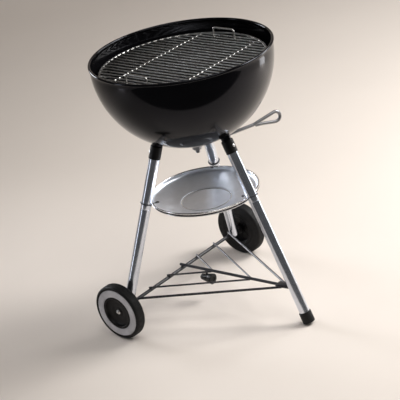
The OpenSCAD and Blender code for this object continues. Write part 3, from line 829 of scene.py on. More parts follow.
axle_rod = rod_along_x("axle_rod", axle_r, axle_end_x, 0.0006)
place(axle_rod, Matrix.Translation((0, axle_y, axle_z)))
axle_rod.data.materials.append(rack_paint)
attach(axle_rod, "stand")
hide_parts("axle")


def rack_point(x, y, d):
    return Vector((x, y, rack_z(y, d)))


def weld_bead(at, long, wide, tall, turn=0.0):
    """A low irregular bead of weld lying across a joint."""
    spot = Matrix.Translation(at) @ Matrix.Rotation(turn, 4, "Z")
    return place(dome(1, 1, (0, 0, 0)), spot @ Matrix.Diagonal((long, wide, tall, 1)))


spine_tail = 0.008
spine_run = [rack_point(0, axle_y + spine_tail - 0.0002, spine_d), rack_point(0, tab_back_y - 0.002, spine_d)]
spine = wires("spine", [spine_run], spine_d, sides=8)
round_edges(spine, 0.0007)
spine_welds = [weld_bead((side * 0.0042, axle_y, axle_z + axle_r + 0.0006), 0.0022, 0.0032, 0.0016)
               for side in (-1, 1)]
spine = join("spine_wire", [spine] + spine_welds)
spine.data.materials.append(rack_paint)
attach(spine, "stand")
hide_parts("rack_spine")

for label, node, x, d in (("side", "rack_side_wires", side_wire_x, side_wire_d),
                          ("outer", "rack_outer_struts", 0.137, strut_d),
                          ("inner", "rack_inner_struts", 0.062, strut_d)):
    pieces = []
    for side in (-1, 1):
        # a side wire stops against the gathering plate, and the others against the spine's side
        stop_x = side * (gather_x if label == "side" else spine_d / 2 - 0.001)
        far_y = axle_y - (x - abs(stop_x)) / rack_run
        begin = rack_point(side * (x + 0.003 * rack_run), axle_y + 0.0029, d)
        run = wires("run", [[begin, rack_point(stop_x, far_y, d)]], d, sides=7)
        pieces.append(run)
        on_axle = (side * (x - 0.0036), axle_y - 0.0006, axle_z + axle_r + 0.0004)
        pieces.append(weld_bead(on_axle, 0.0022, 0.003, 0.0014))
        if label != "side":
            on_spine = (side * (spine_d / 2 + 0.0006), far_y + 0.0034, rack_z(far_y, d))
            pieces.append(weld_bead(on_spine, 0.0016, 0.0036, 0.002, side * math.atan(rack_run)))
    pair = join(label + "_wires", pieces)
    pair.data.materials.append(rack_paint)
    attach(pair, "stand")
    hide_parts(node)

# Gathering plate: the wires' front ends forged flat together, with a round tongue into the leg
plate_z = rack_z(tab_back_y, spine_d) + 0.0008
plate_front_y = kettle_y - (leg_reach - plate_z * math.tan(splay)) + tube_r - 0.0035
plate_half = 0.0119
plate = block("plate", (-plate_half, plate_front_y, plate_z - 0.0039),
              (plate_half, tab_back_y, plate_z + 0.0039))
pick_faces(plate, lambda centre: centre.y < plate_front_y + 0.0001)
bpy.ops.transform.resize(value=(0.5, 1, 1), center_override=(0, plate_front_y, plate_z))
bpy.ops.object.mode_set(mode="OBJECT")
round_edges(plate, 0.0016, 3)
tongue_run = [Vector((0, tab_back_y - 0.02, plate_z)), Vector((0, plate_front_y - 0.009, plate_z))]
tongue = wires("tongue", [tongue_run], spine_d, sides=8)
fillets = []
for side in (-1, 1):
    fillet_at = (side * 0.0062, tab_back_y - 0.001, plate_z + 0.0012)
    fillets.append(weld_bead(fillet_at, 0.003, 0.0042, 0.0024, side * -0.35))
plate = join("gathering_plate", [plate, tongue] + fillets)
plate.data.materials.append(rack_paint)
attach(plate, "stand")
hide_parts("rack_front_tab")

# ---------------------------------------------------------------------------
# Bumper: a tapered black plug hung under the rack's spine on a short welded stud.

bumper_low, bumper_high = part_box("rack_bumper")
bumper_z = (bumper_low.z + bumper_high.z) / 2
bumper_len = bumper_high.y - bumper_low.y
big_r, small_r = 0.015, 0.008
stub_y = kettle_y + 0.046
taper = (big_r - small_r) / bumper_len
outline = [(on_axis, 0.0022), (0.0055, 0.0022), (0.0062, 0.0004), (big_r - 0.0026, 0.0001)]
outline += arc((big_r - 0.002, 0.0021), 0.002, -80, 10, 6)
outline += [(big_r - taper * bumper_len * t, bumper_len * t) for t in (0.2, 0.34)]
outline += [(big_r - taper * bumper_len * 0.36 - 0.0006, bumper_len * 0.36),
            (big_r - taper * bumper_len * 0.4 - 0.0006, bumper_len * 0.4)]
outline += [(big_r - taper * bumper_len * t, bumper_len * t) for t in (0.42, 0.6, 0.8, 0.94)]
outline += [(small_r - 0.0012, bumper_len - 0.0001), (on_axis, bumper_len - 0.0001)]
bumper = turned("bumper_plug", outline, steps=48)
place(bumper, Matrix.Translation((0, bumper_low.y, bumper_z)) @ Matrix.Rotation(-math.pi / 2, 4, "X"))
plug_plastic = moulded_plastic("plug_plastic", (0.006, 0.006, 0.006), 0.42, 0.58, 0.05)
bumper.data.materials.append(plug_plastic)
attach(bumper, "stand")
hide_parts("rack_bumper")

stud_top = rack_z(stub_y, spine_d) - spine_d / 2 + 0.0008
outline = [(on_axis, bumper_z), (0.0029, bumper_z), (0.0029, bumper_z + 0.012), (0.00295, stud_top - 0.0025),
           (0.0033, stud_top - 0.0012), (0.0037, stud_top), (on_axis, stud_top)]
stud = turned("bumper_stud", outline, steps=32)
place(stud, Matrix.Translation((0, stub_y, 0)))
stud.data.materials.append(rack_paint)
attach(stud, "stand")
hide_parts("bumper_stub")

# ---------------------------------------------------------------------------
# Pan clips: a spring wire wound once round each leg, with an eye that reaches in over the ash pan's lip.

pan_r = 0.146
pan_lip_d = 0.005
pan_z = 0.337
clip_d = 0.0025
clip_path_r = tube_r + clip_d / 2
eye_z = pan_z + pan_lip_d / 2 + 0.0005 + clip_d / 2
clip_z = eye_z + clip_path_r * math.sin(splay)
eye_r = 0.004


def hoop_run(radius, count):
    """Points of a full circle about Z, for wire that closes on itself."""
    turns = [2 * math.pi * i / count for i in range(count)]
    return [Vector((radius * math.cos(t), radius * math.sin(t), 0)) for t in turns]


for side in leg_names:
    hoop = wires("hoop", [hoop_run(clip_path_r, 48)], clip_d, closed=True)
    place(hoop, leg_frame(side, clip_z))
    turn = math.radians(leg_names[side])
    root_r = leg_reach - clip_z * math.tan(splay) - clip_path_r * math.cos(splay)
    eye_at = root_r - 0.015
    loop = [Vector((root_r, 0, eye_z)), Vector((eye_at + 0.0075, 0, eye_z))]
    loop += [Vector((eye_at + eye_r * math.cos(math.radians(a)), eye_r * math.sin(math.radians(a)), eye_z))
             for a in range(35, 346, 15)]
    tail = wires("tail", [loop], clip_d)
    place(tail, Matrix.Translation((0, kettle_y, 0)) @ Matrix.Rotation(turn, 4, "Z"))
    knot = weld_bead((0, 0, 0), 0.0026, 0.0024, 0.0018)
    place(knot, Matrix.Translation((root_r * math.cos(turn), kettle_y + root_r * math.sin(turn), eye_z))
          @ Matrix.Rotation(turn, 4, "Z"))
    clip = join("clip_" + side, [hoop, tail, knot])
    clip.data.materials.append(rack_paint)
    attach(clip, "stand")
    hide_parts("pan_clip_" + side)

# ---------------------------------------------------------------------------
# Ash pan: spun from soft aluminium sheet, with a rolled lip, a second bead under it and a raised ring
# round its floor. It hangs between the legs under the three clips.

pan_wall_r = pan_r - pan_lip_d
pan_sheet = 0.0015
pan_floor_z = pan_z - 0.029
pan_wall_z = pan_z - 0.01
pan_floor_r = 0.066
ball_z = (pan_wall_r ** 2 - pan_floor_r ** 2 + pan_wall_z ** 2 - pan_floor_z ** 2)
ball_z /= 2 * (pan_wall_z - pan_floor_z)
ball_r = math.sqrt(pan_floor_r ** 2 + (ball_z - pan_floor_z) ** 2)
dish = []
for i in range(15):
    r = pan_floor_r + 0.004 + (pan_wall_r - 0.0035 - pan_floor_r - 0.004) * i / 14
    dish.append((r, ball_z - math.sqrt(ball_r ** 2 - r ** 2)))
lower_skin = [(on_axis, pan_floor_z - 0.0007), (0.03, pan_floor_z - 0.0007), (0.055, pan_floor_z - 0.0007),
              (pan_floor_r - 0.003, pan_floor_z - 0.0006), (pan_floor_r - 0.0012, pan_floor_z - 0.0013),
              (pan_floor_r, pan_floor_z - 0.0017), (pan_floor_r + 0.0014, pan_floor_z - 0.0012)] + dish
lower_skin += [(pan_wall_r - 0.0012, pan_wall_z - 0.0006), (pan_wall_r - 0.0002, pan_wall_z + 0.0002)]
bead_under = [(pan_wall_r + 0.0006, pan_wall_z + 0.0004)]
bead_under += arc((pan_wall_r + 0.0015, pan_z - 0.0075), 0.00195, -100, 110, 14)
lip = arc((pan_r - pan_lip_d / 2, pan_z), pan_lip_d / 2 - 0.00005, -125, 180, 24)
upper_skin = [(r - 0.0002, z + pan_sheet) for r, z in reversed(dish[:-1])]
upper_skin += [(pan_floor_r + 0.002, pan_floor_z + 0.001), (pan_floor_r, pan_floor_z + 0.0017),
               (pan_floor_r - 0.002, pan_floor_z + 0.0009), (0.055, pan_floor_z + 0.0007),
               (on_axis, pan_floor_z + 0.0007)]
outline = lower_skin + bead_under + lip
outline += [(pan_wall_r - 0.001, pan_z - 0.002), (pan_wall_r - 0.0012, pan_z - 0.0045),
            (pan_wall_r - 0.0022, pan_z - 0.0068), (pan_wall_r - 0.0042, pan_z - 0.009)]
outline += upper_skin


def spun_aluminium(name, centre_y):
    """Spun sheet: fine rings left by the spinning tool, a satin sheen, thumb marks and a little ash."""
    finish, tree, shader = new_finish(name)
    here = object_place(tree)
    centred = add_node(tree, "ShaderNodeMapping", vector_type="POINT")
    centred.inputs["Location"].default_value = (0, -centre_y, 0)
    tree.links.new(here, centred.inputs["Vector"])
    axes = add_node(tree, "ShaderNodeSeparateXYZ")
    tree.links.new(centred.outputs["Vector"], axes.inputs["Vector"])
    flat = add_node(tree, "ShaderNodeCombineXYZ")
    tree.links.new(axes.outputs["X"], flat.inputs["X"])
    tree.links.new(axes.outputs["Y"], flat.inputs["Y"])
    reach = add_node(tree, "ShaderNodeVectorMath", operation="LENGTH")
    tree.links.new(flat.outputs["Vector"], reach.inputs[0])
    ring_place = add_node(tree, "ShaderNodeCombineXYZ")
    tree.links.new(reach.outputs["Value"], ring_place.inputs["X"])
    tree.links.new(axes.outputs["Z"], ring_place.inputs["Z"])
    rings = noise_at(tree, ring_place.outputs["Vector"], Scale=1600.0, Detail=5.0, Roughness=0.75)
    broad = noise_at(tree, ring_place.outputs["Vector"], Scale=150.0, Detail=2.0)
    cloudy = group_node(tree, mottle_group, here, Scale=16.0)
    dust = group_node(tree, dust_group, here, Amount=0.12)
    wear = group_node(tree, wear_group, here, Amount=0.4)
    # aluminium grey with a blue cast; the blue cast is painted cool reflection, set against the warm sheet
    # that the pan mirrors
    base = blend_colours(tree, cloudy.outputs[0], (0.84, 0.87, 0.93), (0.76, 0.79, 0.85))
    # the raised ring and the rolled lip are painted with a highlight, their colour lifted near white, and are
    # burnished smoother
    on_ring = calc(tree, "COMPARE", reach.outputs["Value"], pan_floor_r, 0.0016)
    on_lip = calc(tree, "GREATER_THAN", reach.outputs["Value"], pan_wall_r)
    burnish_and_highlight = calc(tree, "MAXIMUM", on_ring, on_lip)
    ring_lip_highlighted = blend_colours(tree, burnish_and_highlight, base, (0.97, 0.97, 0.98))
    # the outside under the rolled lip, apart from the bead, is darkened
    below_lip = calc(tree, "LESS_THAN", axes.outputs["Z"], pan_z - 0.0022)
    on_bead = calc(tree, "COMPARE", axes.outputs["Z"], pan_z - 0.0075, 0.0008)
    under_lip_band = calc(tree, "SUBTRACT", calc(tree, "MULTIPLY", on_lip, below_lip), on_bead, clamped=True)
    darkened_under_lip = blend_colours(tree, under_lip_band, ring_lip_highlighted, (0.2, 0.2, 0.21))
    edged = blend_colours(tree, wear.outputs[0], darkened_under_lip, (0.9, 0.9, 0.91))
    dusty = blend_colours(tree, dust.outputs[0], edged, (0.3, 0.29, 0.28))
    tree.links.new(dusty, shader.inputs["Base Color"])
    rough = remap(tree, rings, From_Min=0.3, From_Max=0.7, To_Min=0.33, To_Max=0.43)
    smoother = remap(tree, burnish_and_highlight, To_Min=1.0, To_Max=0.55)
    tree.links.new(calc(tree, "MULTIPLY", rough, smoother), shader.inputs["Roughness"])
    fine = add_bump(tree, shader, rings, 0.1, 0.0001)
    add_bump(tree, shader, broad, 0.05, 0.0008, under=fine)
    set_inputs(shader, Metallic=1.0)
    return finish


pan = turned("spun_pan", outline, steps=128, smooth=40.0)
place(pan, Matrix.Translation((0, kettle_y, 0)))
pan.data.materials.append(spun_aluminium("pan_aluminium", kettle_y))
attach(pan, "ash_pan")
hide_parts("ash_pan")

# ---------------------------------------------------------------------------
# Wheels: each is a black moulded tyre, a light grey ring let into its outer face and a dished black
# hub with a bored boss. They turn freely on the axle.

wheel_r = 0.0765
wheel_w = 0.03
hub_r = 0.58 * wheel_r
ring_in_r = hub_r + 0.002
ring_out_r = 0.87 * wheel_r
ring_t = 0.003
shoulder_r = 0.007
hub_dish = 0.008
wheel_in_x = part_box("right_tyre")[0].x


def wheel_frame(side):
    """+Z runs outwards along the axle from the wheel's inner face."""
    spot = Matrix.Translation((side * wheel_in_x, axle_y, axle_z))
    return spot @ Matrix.Rotation(side * math.pi / 2, 4, "Y")


def tyre_rubber(name):
    """Moulded tread: dusty grey-black, scuffed paler round the crown, with fine pits all over."""
    finish, tree, shader = new_finish(name)
    here = object_place(tree)
    centred = add_node(tree, "ShaderNodeMapping", vector_type="POINT")
    centred.inputs["Location"].default_value = (0, -axle_y, -axle_z)
    tree.links.new(here, centred.inputs["Vector"])
    axes = add_node(tree, "ShaderNodeSeparateXYZ")
    tree.links.new(centred.outputs["Vector"], axes.inputs["Vector"])
    flat = add_node(tree, "ShaderNodeCombineXYZ")
    tree.links.new(axes.outputs["Y"], flat.inputs["Y"])
    tree.links.new(axes.outputs["Z"], flat.inputs["Z"])
    reach = add_node(tree, "ShaderNodeVectorMath", operation="LENGTH")
    tree.links.new(flat.outputs["Vector"], reach.inputs[0])
    crown = remap(tree, reach.outputs["Value"], From_Min=wheel_r - 0.0025, From_Max=wheel_r - 0.0003)
    scuffs = noise_at(tree, here, Scale=130.0, Detail=8.0, Roughness=0.75)
    patchy = remap(tree, scuffs, From_Min=0.35, From_Max=0.7, To_Max=0.75)
    rubbed = calc(tree, "MULTIPLY", crown, patchy)
    cloudy = group_node(tree, mottle_group, here, Scale=50.0)
    base = blend_colours(tree, cloudy.outputs[0], (0.0035, 0.0034, 0.0038), (0.006, 0.0058, 0.0062))
    scuffed = blend_colours(tree, rubbed, base, (0.02, 0.0195, 0.02))
    dust = group_node(tree, dust_group, here, Amount=0.06)
    dusty = blend_colours(tree, dust.outputs[0], scuffed, (0.16, 0.15, 0.14))
    tree.links.new(dusty, shader.inputs["Base Color"])
    rough = group_node(tree, mottle_group, here, Scale=90.0, Low=0.48, High=0.7)
    tree.links.new(rough.outputs[0], shader.inputs["Roughness"])
    pits = noise_at(tree, here, Scale=850.0, Detail=5.0)
    add_bump(tree, shader, pits, 0.3, 0.0003)
    set_inputs(shader, IOR=1.33)
    return finish


tyre_black = tyre_rubber("tyre_rubber")
hub_black = moulded_plastic("hub_plastic", (0.0032, 0.0032, 0.0036), 0.36, 0.5, 0.02)
ring_grey = moulded_plastic("light_grey_plastic", (0.72, 0.72, 0.76), 0.36, 0.5, 0.12)
crown_r = wheel_r - 0.00005

tyre_outline = [(hub_r + 0.0001, 0.0008), (hub_r + 0.0008, 0.0001), (hub_r + 0.006, 0.0001),
                (hub_r + 0.0066, 0.0009), (hub_r + 0.0082, 0.0009), (hub_r + 0.0088, 0.0001),
                (wheel_r - shoulder_r, 0.0001)]
tyre_outline += arc((wheel_r - shoulder_r, shoulder_r), shoulder_r - 0.0001, -82, -6, 8)
# shallow grooves run round the tread, which lies nearly flat between the rounded shoulders
for mid in (0.0085, 0.0125, 0.0175, 0.0215):
    tyre_outline += [(crown_r, mid - 0.0009), (crown_r - 0.0006, mid - 0.0006),
                     (crown_r - 0.0006, mid + 0.0006), (crown_r, mid + 0.0009)]
tyre_outline += arc((wheel_r - shoulder_r, wheel_w - shoulder_r), shoulder_r - 0.0001, 6, 82, 8)
tyre_outline += [(ring_out_r + 0.0018, wheel_w - 0.0002), (ring_out_r + 0.0006, wheel_w - 0.0006),
                 (ring_out_r + 0.0001, wheel_w - 0.0014), (ring_out_r + 0.0001, wheel_w - ring_t),
                 (ring_in_r - 0.0001, wheel_w - ring_t), (ring_in_r - 0.0001, wheel_w - 0.0012),
                 (ring_in_r - 0.0006, wheel_w - 0.0004), (hub_r + 0.0001, wheel_w - 0.0003)]
tyre_outline += [tyre_outline[0]]
ring_outline = [(ring_in_r, wheel_w - ring_t + 0.0001), (ring_in_r, wheel_w - 0.001),
                (ring_in_r + 0.0004, wheel_w - 0.0005), (ring_in_r + 0.0012, wheel_w - 0.0003),
                (ring_in_r + 0.0022, wheel_w - 0.0003), (ring_in_r + 0.0026, wheel_w - 0.0008),
                (ring_in_r + 0.0034, wheel_w - 0.0008), (ring_in_r + 0.0038, wheel_w - 0.0003),
                (0.5 * (ring_in_r + ring_out_r), wheel_w - 0.0001), (ring_out_r - 0.003, wheel_w - 0.0004),
                (ring_out_r - 0.0012, wheel_w - 0.0007), (ring_out_r - 0.0003, wheel_w - 0.0012),
                (ring_out_r, wheel_w - 0.0018), (ring_out_r, wheel_w - ring_t + 0.0001),
                (ring_in_r, wheel_w - ring_t + 0.0001)]
web_top = wheel_w - hub_dish
bore = axle_r + 0.0001
hub_outline = [(bore, 0.0006), (bore + 0.0006, 0.0001), (0.0122, 0.0001), (0.013, 0.0009),
               (0.013, web_top - 0.0075), (0.0142, web_top - 0.0061), (hub_r - 0.0068, web_top - 0.0059),
               (hub_r - 0.005, web_top - 0.0075), (hub_r - 0.005, 0.0008), (hub_r - 0.0042, 0.0001),
               (hub_r - 0.0008, 0.0001), (hub_r - 0.0001, 0.0008), (hub_r - 0.0001, wheel_w - 0.001),
               (hub_r - 0.0009, wheel_w - 0.0001), (hub_r - 0.0036, wheel_w - 0.0001),
               (hub_r - 0.0046, wheel_w - 0.0011), (hub_r - 0.0064, web_top + 0.0016),
               (hub_r - 0.0084, web_top + 0.0002), (0.5 * hub_r + 0.004, web_top), (0.0158, web_top),
               (0.0148, web_top - 0.0006), (0.0138, web_top - 0.0006), (0.0128, web_top),
               (bore + 0.0005, web_top), (bore, web_top - 0.0005), (bore, 0.0006)]
rib_turns = [2 * math.pi * i / 8 for i in range(8)]

for side, word in ((-1, "left"), (1, "right")):
    rides = word + "_wheel"
    tyre = place(turned(word + "_tread", tyre_outline, steps=128), wheel_frame(side))
    tyre.data.materials.append(tyre_black)
    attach(tyre, rides)
    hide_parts(word + "_tyre")

    face_ring = place(turned(word + "_face_ring", ring_outline, steps=96), wheel_frame(side))
    face_ring.data.materials.append(ring_grey)
    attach(face_ring, rides)
    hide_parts(word + "_wheel_ring")

    hub_parts = [turned("hub", hub_outline, steps=96)]
    # low stiffening ribs on the hub's inner side, between the boss and the rim
    for turn in rib_turns:
        rib = block("rib", (0.0128, -0.0009, web_top - 0.0078), (hub_r - 0.0048, 0.0009, web_top - 0.0055))
        hub_parts.append(place(rib, Matrix.Rotation(turn, 4, "Z")))
    hub = place(join(word + "_hub", hub_parts), wheel_frame(side))
    hub.data.materials.append(hub_black)
    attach(hub, rides)
    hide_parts(word + "_wheel_hub")

# ---------------------------------------------------------------------------
# Hub caps: domed push-on retainers of bright steel on the axle's ends.

cap_face_r = 0.007
cap_tall = 0.005
dome_r = cap_face_r + 0.0005
for side, word in ((-1, "left"), (1, "right")):
    outline = [(axle_r + 0.0003, 0.0004), (axle_r + 0.0006, 0.0001), (cap_face_r - 0.0006, 0.0001),
               (cap_face_r - 0.0001, 0.0005), (cap_face_r - 0.0001, 0.0011), (cap_face_r - 0.0005, 0.0014)]
    outline += [(dome_r * math.sin(math.radians(t)) - 0.0004,
                 cap_tall - dome_r + dome_r * math.cos(math.radians(t)) - 0.0001)
                for t in (60, 50, 40, 30, 20, 12, 6)]
    outline += [(on_axis, cap_tall - 0.0001), (on_axis, 0.0026), (axle_r + 0.0002, 0.0026),
                (axle_r + 0.0003, 0.0004)]
    button = turned("axle_button_" + word, outline, steps=48, smooth=30.0)
    place(button, wheel_frame(side) @ Matrix.Translation((0, 0, web_top + 0.0005)))
    button.data.materials.append(bright_steel)
    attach(button, "stand")
    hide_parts("hub_cap_" + word)

# ---------------------------------------------------------------------------
# Vent sweep: a three-bladed steel star inside the bowl, curved to lie close on its bottom. A shaft
# through the bowl joins it to the lever below, held by a nut above and a cotter pin under the boss.

blade_gap = 0.0006
blade_t = 0.0015
blade_reach = 0.106
blade_hub_r = 0.026
blade_half = 16.0
blade_turn = 30
face_r = inner_r - blade_gap


def ball_skin(radius, reach):
    """A point on a ball about the bowl's centre, this far out from the axis and below the centre."""
    return (reach, bowl_z - math.sqrt(radius ** 2 - reach ** 2))


def curved_sheet(reaches, outer, inner):
    """The closed outline of a sheet between two ball skins, out along one and back along the other."""
    outline = [ball_skin(outer, r) for r in reaches] + [ball_skin(inner, r) for r in reversed(reaches)]
    return outline + [outline[0]]


steps = [blade_hub_r * 0.9 + (blade_reach - blade_hub_r * 0.9) * i / 12 for i in range(13)]
blade_outline = curved_sheet(steps, face_r - 0.0001, face_r - blade_t + 0.0001)
hub_steps = [shaft_hole_r, 0.012, 0.019, blade_hub_r]
star_parts = [turned("disc", curved_sheet(hub_steps, face_r - 0.0001, face_r - blade_t), steps=64)]
for turn in vent_turns:
    blade = turned("blade", blade_outline, steps=10, sweep=2 * blade_half)
    choose(blade)
    bpy.ops.object.mode_set(mode="EDIT")
    bpy.ops.mesh.select_all(action="SELECT")
    bpy.ops.mesh.fill_holes(sides=0)
    bpy.ops.mesh.select_all(action="SELECT")
    bpy.ops.mesh.normals_make_consistent(inside=False)
    bpy.ops.object.mode_set(mode="OBJECT")
    place(blade, Matrix.Rotation(turn + math.radians(blade_turn - blade_half), 4, "Z"))
    # a pressed rib runs along the middle of each blade
    rib_reaches = [ball_skin(face_r - blade_t + 0.0002, r) for r in steps[2:-2]]
    rib = wires("rib", [[Vector((r, 0, z)) for r, z in rib_reaches]], 0.0012)
    place(rib, Matrix.Rotation(turn + math.radians(blade_turn), 4, "Z"))
    star_parts += [blade, rib]
star = place(join("sweep_star", star_parts), Matrix.Translation((0, kettle_y, 0)))
star.data.materials.append(lever_steel)
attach(star, "vent_sweep")
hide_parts("sweep_blades")

shaft_low, shaft_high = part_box("sweep_shaft")
nut_low, nut_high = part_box("shaft_nut")
shaft_r = 0.006
thread_from = nut_high.z + 0.0002
thread_pitch = 0.0008
outline = [(on_axis, shaft_low.z), (shaft_r - 0.0008, shaft_low.z), (shaft_r, shaft_low.z + 0.0008),
           (shaft_r, 0.449), (shaft_r - 0.0002, 0.4493), (shaft_r - 0.0002, 0.4507), (shaft_r, 0.451),
           (shaft_r, 0.47), (shaft_r, thread_from)]
turns = int((shaft_high.z - thread_pitch - thread_from) / thread_pitch)
for i in range(turns):
    outline += [(shaft_r - 0.0006, thread_from + thread_pitch * (i + 0.5)),
                (shaft_r - 0.0001, thread_from + thread_pitch * (i + 1))]
outline += [(shaft_r - 0.0009, shaft_high.z), (on_axis, shaft_high.z)]
shaft = turned("vent_shaft", outline, steps=32)
place(shaft, Matrix.Translation((0, kettle_y, 0)))
shaft.data.materials.append(lever_steel)
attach(shaft, "vent_sweep")
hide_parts("sweep_shaft")

deselect_all()
bpy.ops.mesh.primitive_cylinder_add(vertices=6, radius=0.01, depth=nut_high.z - nut_low.z)
nut = bpy.context.object
nut.name = nut.data.name = "lock_nut"
pick_faces(nut, lambda centre: abs(centre.z) > 0.0025)
bpy.ops.mesh.inset(thickness=0.0034, depth=0.0)
bpy.ops.mesh.inset(thickness=0.0006, depth=-0.0006)
bpy.ops.object.mode_set(mode="OBJECT")
nut.rotation_euler = (0, 0, math.radians(30))
nut.location = (0, kettle_y, (nut_low.z + nut_high.z) / 2)
bpy.ops.object.transform_apply(location=True, rotation=True, scale=True)
round_edges(nut, 0.0005, 2)
nut.data.materials.append(bright_steel)
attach(nut, "vent_sweep")
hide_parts("shaft_nut")

lug_low, lug_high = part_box("lever_hub")
lug_r = 0.013
lever_turn = math.radians(lever_rest)
lever_low_z = 0.4613
lever_rise = 0.055
lever_lean = math.atan(lever_rise)
lever_base = Matrix.Translation((0, kettle_y, 0)) @ Matrix.Rotation(lever_turn, 4, "Z")
on_lever = lever_base @ Matrix.Translation((0, 0, lever_low_z)) @ Matrix.Rotation(-lever_lean, 4, "Y")
outline = [(shaft_r + 0.0001, lug_low.z + 0.0008), (shaft_r + 0.0009, lug_low.z),
           (lug_r - 0.0012, lug_low.z), (lug_r, lug_low.z + 0.0012), (lug_r, lug_high.z - 0.0012),
           (lug_r - 0.0012, lug_high.z), (shaft_r + 0.0009, lug_high.z),
           (shaft_r + 0.0001, lug_high.z - 0.0008), (shaft_r + 0.0001, lug_low.z + 0.0008)]
lug = place(turned("lever_lug", outline, steps=48), lever_base)
lug.data.materials.append(lever_steel)
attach(lug, "vent_sweep")
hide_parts("lever_hub")

rod_d = 0.0094
loop_root = 0.164
root_along = loop_root * math.sqrt(1 + lever_rise ** 2)
rod_run = [Vector((x, 0, 0)) for x in (lug_r - 0.0008, 0.06, 0.12, root_along + 0.0002)]
arm = wires("lever_rod", [rod_run], rod_d - 0.0001, sides=8)
at_lug = Matrix.Translation((lug_r + 0.0002, 0, 0))
root_bead = place(dome(1, 1, (0, 0, 0)), at_lug @ Matrix.Diagonal((0.0018, 0.0052, 0.0052, 1)))
arm = place(join("lever_rod", [arm, root_bead]), on_lever)
arm.data.materials.append(lever_steel)
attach(arm, "vent_sweep")
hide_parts("lever_arm")

# Pull loop: the rod's end bent back on itself in a long drop that stands on edge, its tip tucked under
loop_half = 0.0184
loop_wire = 0.0092
loop_tip = 0.25
bow_x = loop_tip - loop_half
bow_r = loop_half - loop_wire / 2
path = [Vector((root_along - 0.0006, 0, 0)), Vector((root_along + 0.006, 0, 0.0011)),
        Vector((root_along + 0.014, 0, 0.0029))]
path += [Vector((bow_x + bow_r * math.cos(math.radians(a)), 0, bow_r * math.sin(math.radians(a))))
         for a in range(102, -103, -6)]
path += [Vector((root_along + 0.02, 0, -0.0042)), Vector((root_along + 0.0075, 0, -0.0028))]
loop = wires("pull_loop", [path], loop_wire - 0.0002, sides=8)
round_edges(loop, 0.0008, 2, angle=60.0)
loop = place(loop, on_lever)
loop.data.materials.append(lever_steel)
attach(loop, "vent_sweep")
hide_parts("lever_handle")

# Cotter pin: folded wire through the shaft, its eye on one side and its two ends spread on the other
cotter_z = 0.45
pin_wire = 0.0013
legs = [[Vector((0.0128, s * 0.0011, 0)), Vector((0.006, s * 0.0007, 0)), Vector((-0.006, s * 0.0007, 0)),
         Vector((-0.0088, s * 0.0007, 0)), Vector((-0.0104, s * 0.0008, 0))] for s in (-1, 1)]
eye = [Vector((0.0112 + 0.0013 * at.x, 0.0009 * at.y, 0)) for at in hoop_run(1, 16)]
cotter = join("cotter_wire", [wires("legs", legs, pin_wire), wires("eye", [eye], pin_wire, closed=True)])
place(cotter, Matrix.Translation((0, kettle_y, cotter_z)) @ Matrix.Rotation(lever_turn + math.pi / 2, 4, "Z"))
cotter.data.materials.append(bright_steel)
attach(cotter, "vent_sweep")
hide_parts("cotter_pin")

# ---------------------------------------------------------------------------
# Grates: plated steel bars welded across a wire ring, with two bearer bars under them. The lower one
# carries the charcoal and the upper one the food; the upper one has two wire handles to lift it by.

grate_wire = 0.006
bar_d = 0.005
bar_lift = 0.0012


def grate(name, path_r, z, pitch, seed):
    dice = random.Random(seed)
    count = int((path_r - pitch / 2) / pitch)
    bars, bearers, beads = [], [], []
    for i in range(-count, count + 1):
        half = math.sqrt(path_r ** 2 - (i * pitch) ** 2)
        bars.append([Vector((i * pitch, -half, bar_lift)), Vector((i * pitch, half, bar_lift))])
        for end in (-1, 1):
            bead_at = (i * pitch + dice.uniform(-0.0004, 0.0004), end * half, bar_lift + 0.0012)
            beads.append((bead_at, dice.uniform(0.0026, 0.0031)))
    for end in (-1, 1):
        y = end * path_r * 0.45
        half = math.sqrt(path_r ** 2 - y ** 2)
        bearers.append([Vector((-half, y, -bar_lift)), Vector((half, y, -bar_lift))])
    shapes = [wires("ring", [hoop_run(path_r, 128)], grate_wire, closed=True), wires("bars", bars, bar_d),
              wires("bearers", bearers, bar_d)]
    shapes += [dome(wide, 0.0011, at) for at, wide in beads]
    return place(join(name, shapes), Matrix.Translation((0, kettle_y, z)))


charcoal_low, charcoal_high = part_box("charcoal_grate")
charcoal_r = (charcoal_high.x - charcoal_low.x) / 2 - grate_wire / 2
heat_plating = plated_finish("charcoal_grate_steel", (0.36, 0.35, 0.34), (0.5, 0.49, 0.47), 0.9)
fire_grate = grate("fire_grate", charcoal_r, charcoal_high.z - bar_lift - bar_d / 2, 0.021, 3)
fire_grate.data.materials.append(heat_plating)
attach(fire_grate, "charcoal_grate")
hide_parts("charcoal_grate")

cooking_low, cooking_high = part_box("cooking_grate")
cooking_r = (cooking_high.x - cooking_low.x) / 2 - grate_wire / 2
food_grate = grate("food_grate", cooking_r, cooking_high.z - bar_lift - bar_d / 2, 0.016, 5)
food_grate.data.materials.append(grate_plating)
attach(food_grate, "cooking_grate")
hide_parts("cooking_grate")

handle_low, handle_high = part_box("cooking_grate_handles")
handle_x = 0.172
handle_half = 0.035
handle_parts = []
for side in (-1, 1):
    x = side * handle_x
    top_z = handle_high.z - bar_d / 2
    corners = [(x, kettle_y - handle_half, handle_low.z), (x, kettle_y - handle_half, top_z),
               (x, kettle_y + handle_half, top_z), (x, kettle_y + handle_half, handle_low.z)]
    handle_parts.append(wires("handle", [bent(corners, 0.009)], bar_d - 0.0001, sides=7))
    for y in (kettle_y - handle_half, kettle_y + handle_half):
        handle_parts.append(dome(0.0034, 0.0012, (x, y, handle_low.z + 0.0006)))
handles = join("lifting_handles", handle_parts)
handles.data.materials.append(grate_plating)
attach(handles, "cooking_grate")
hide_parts("cooking_grate_handles")

# ---------------------------------------------------------------------------
# The room: a pale seamless sheet that runs flat under the grill and curves up behind it.

sheet_front = -0.72
sheet_back = 3.0
sheet_bend_r = 1.6
sheet_top = 6.0
sheet_half = 9.0
view_turn = math.radians(-46.0)


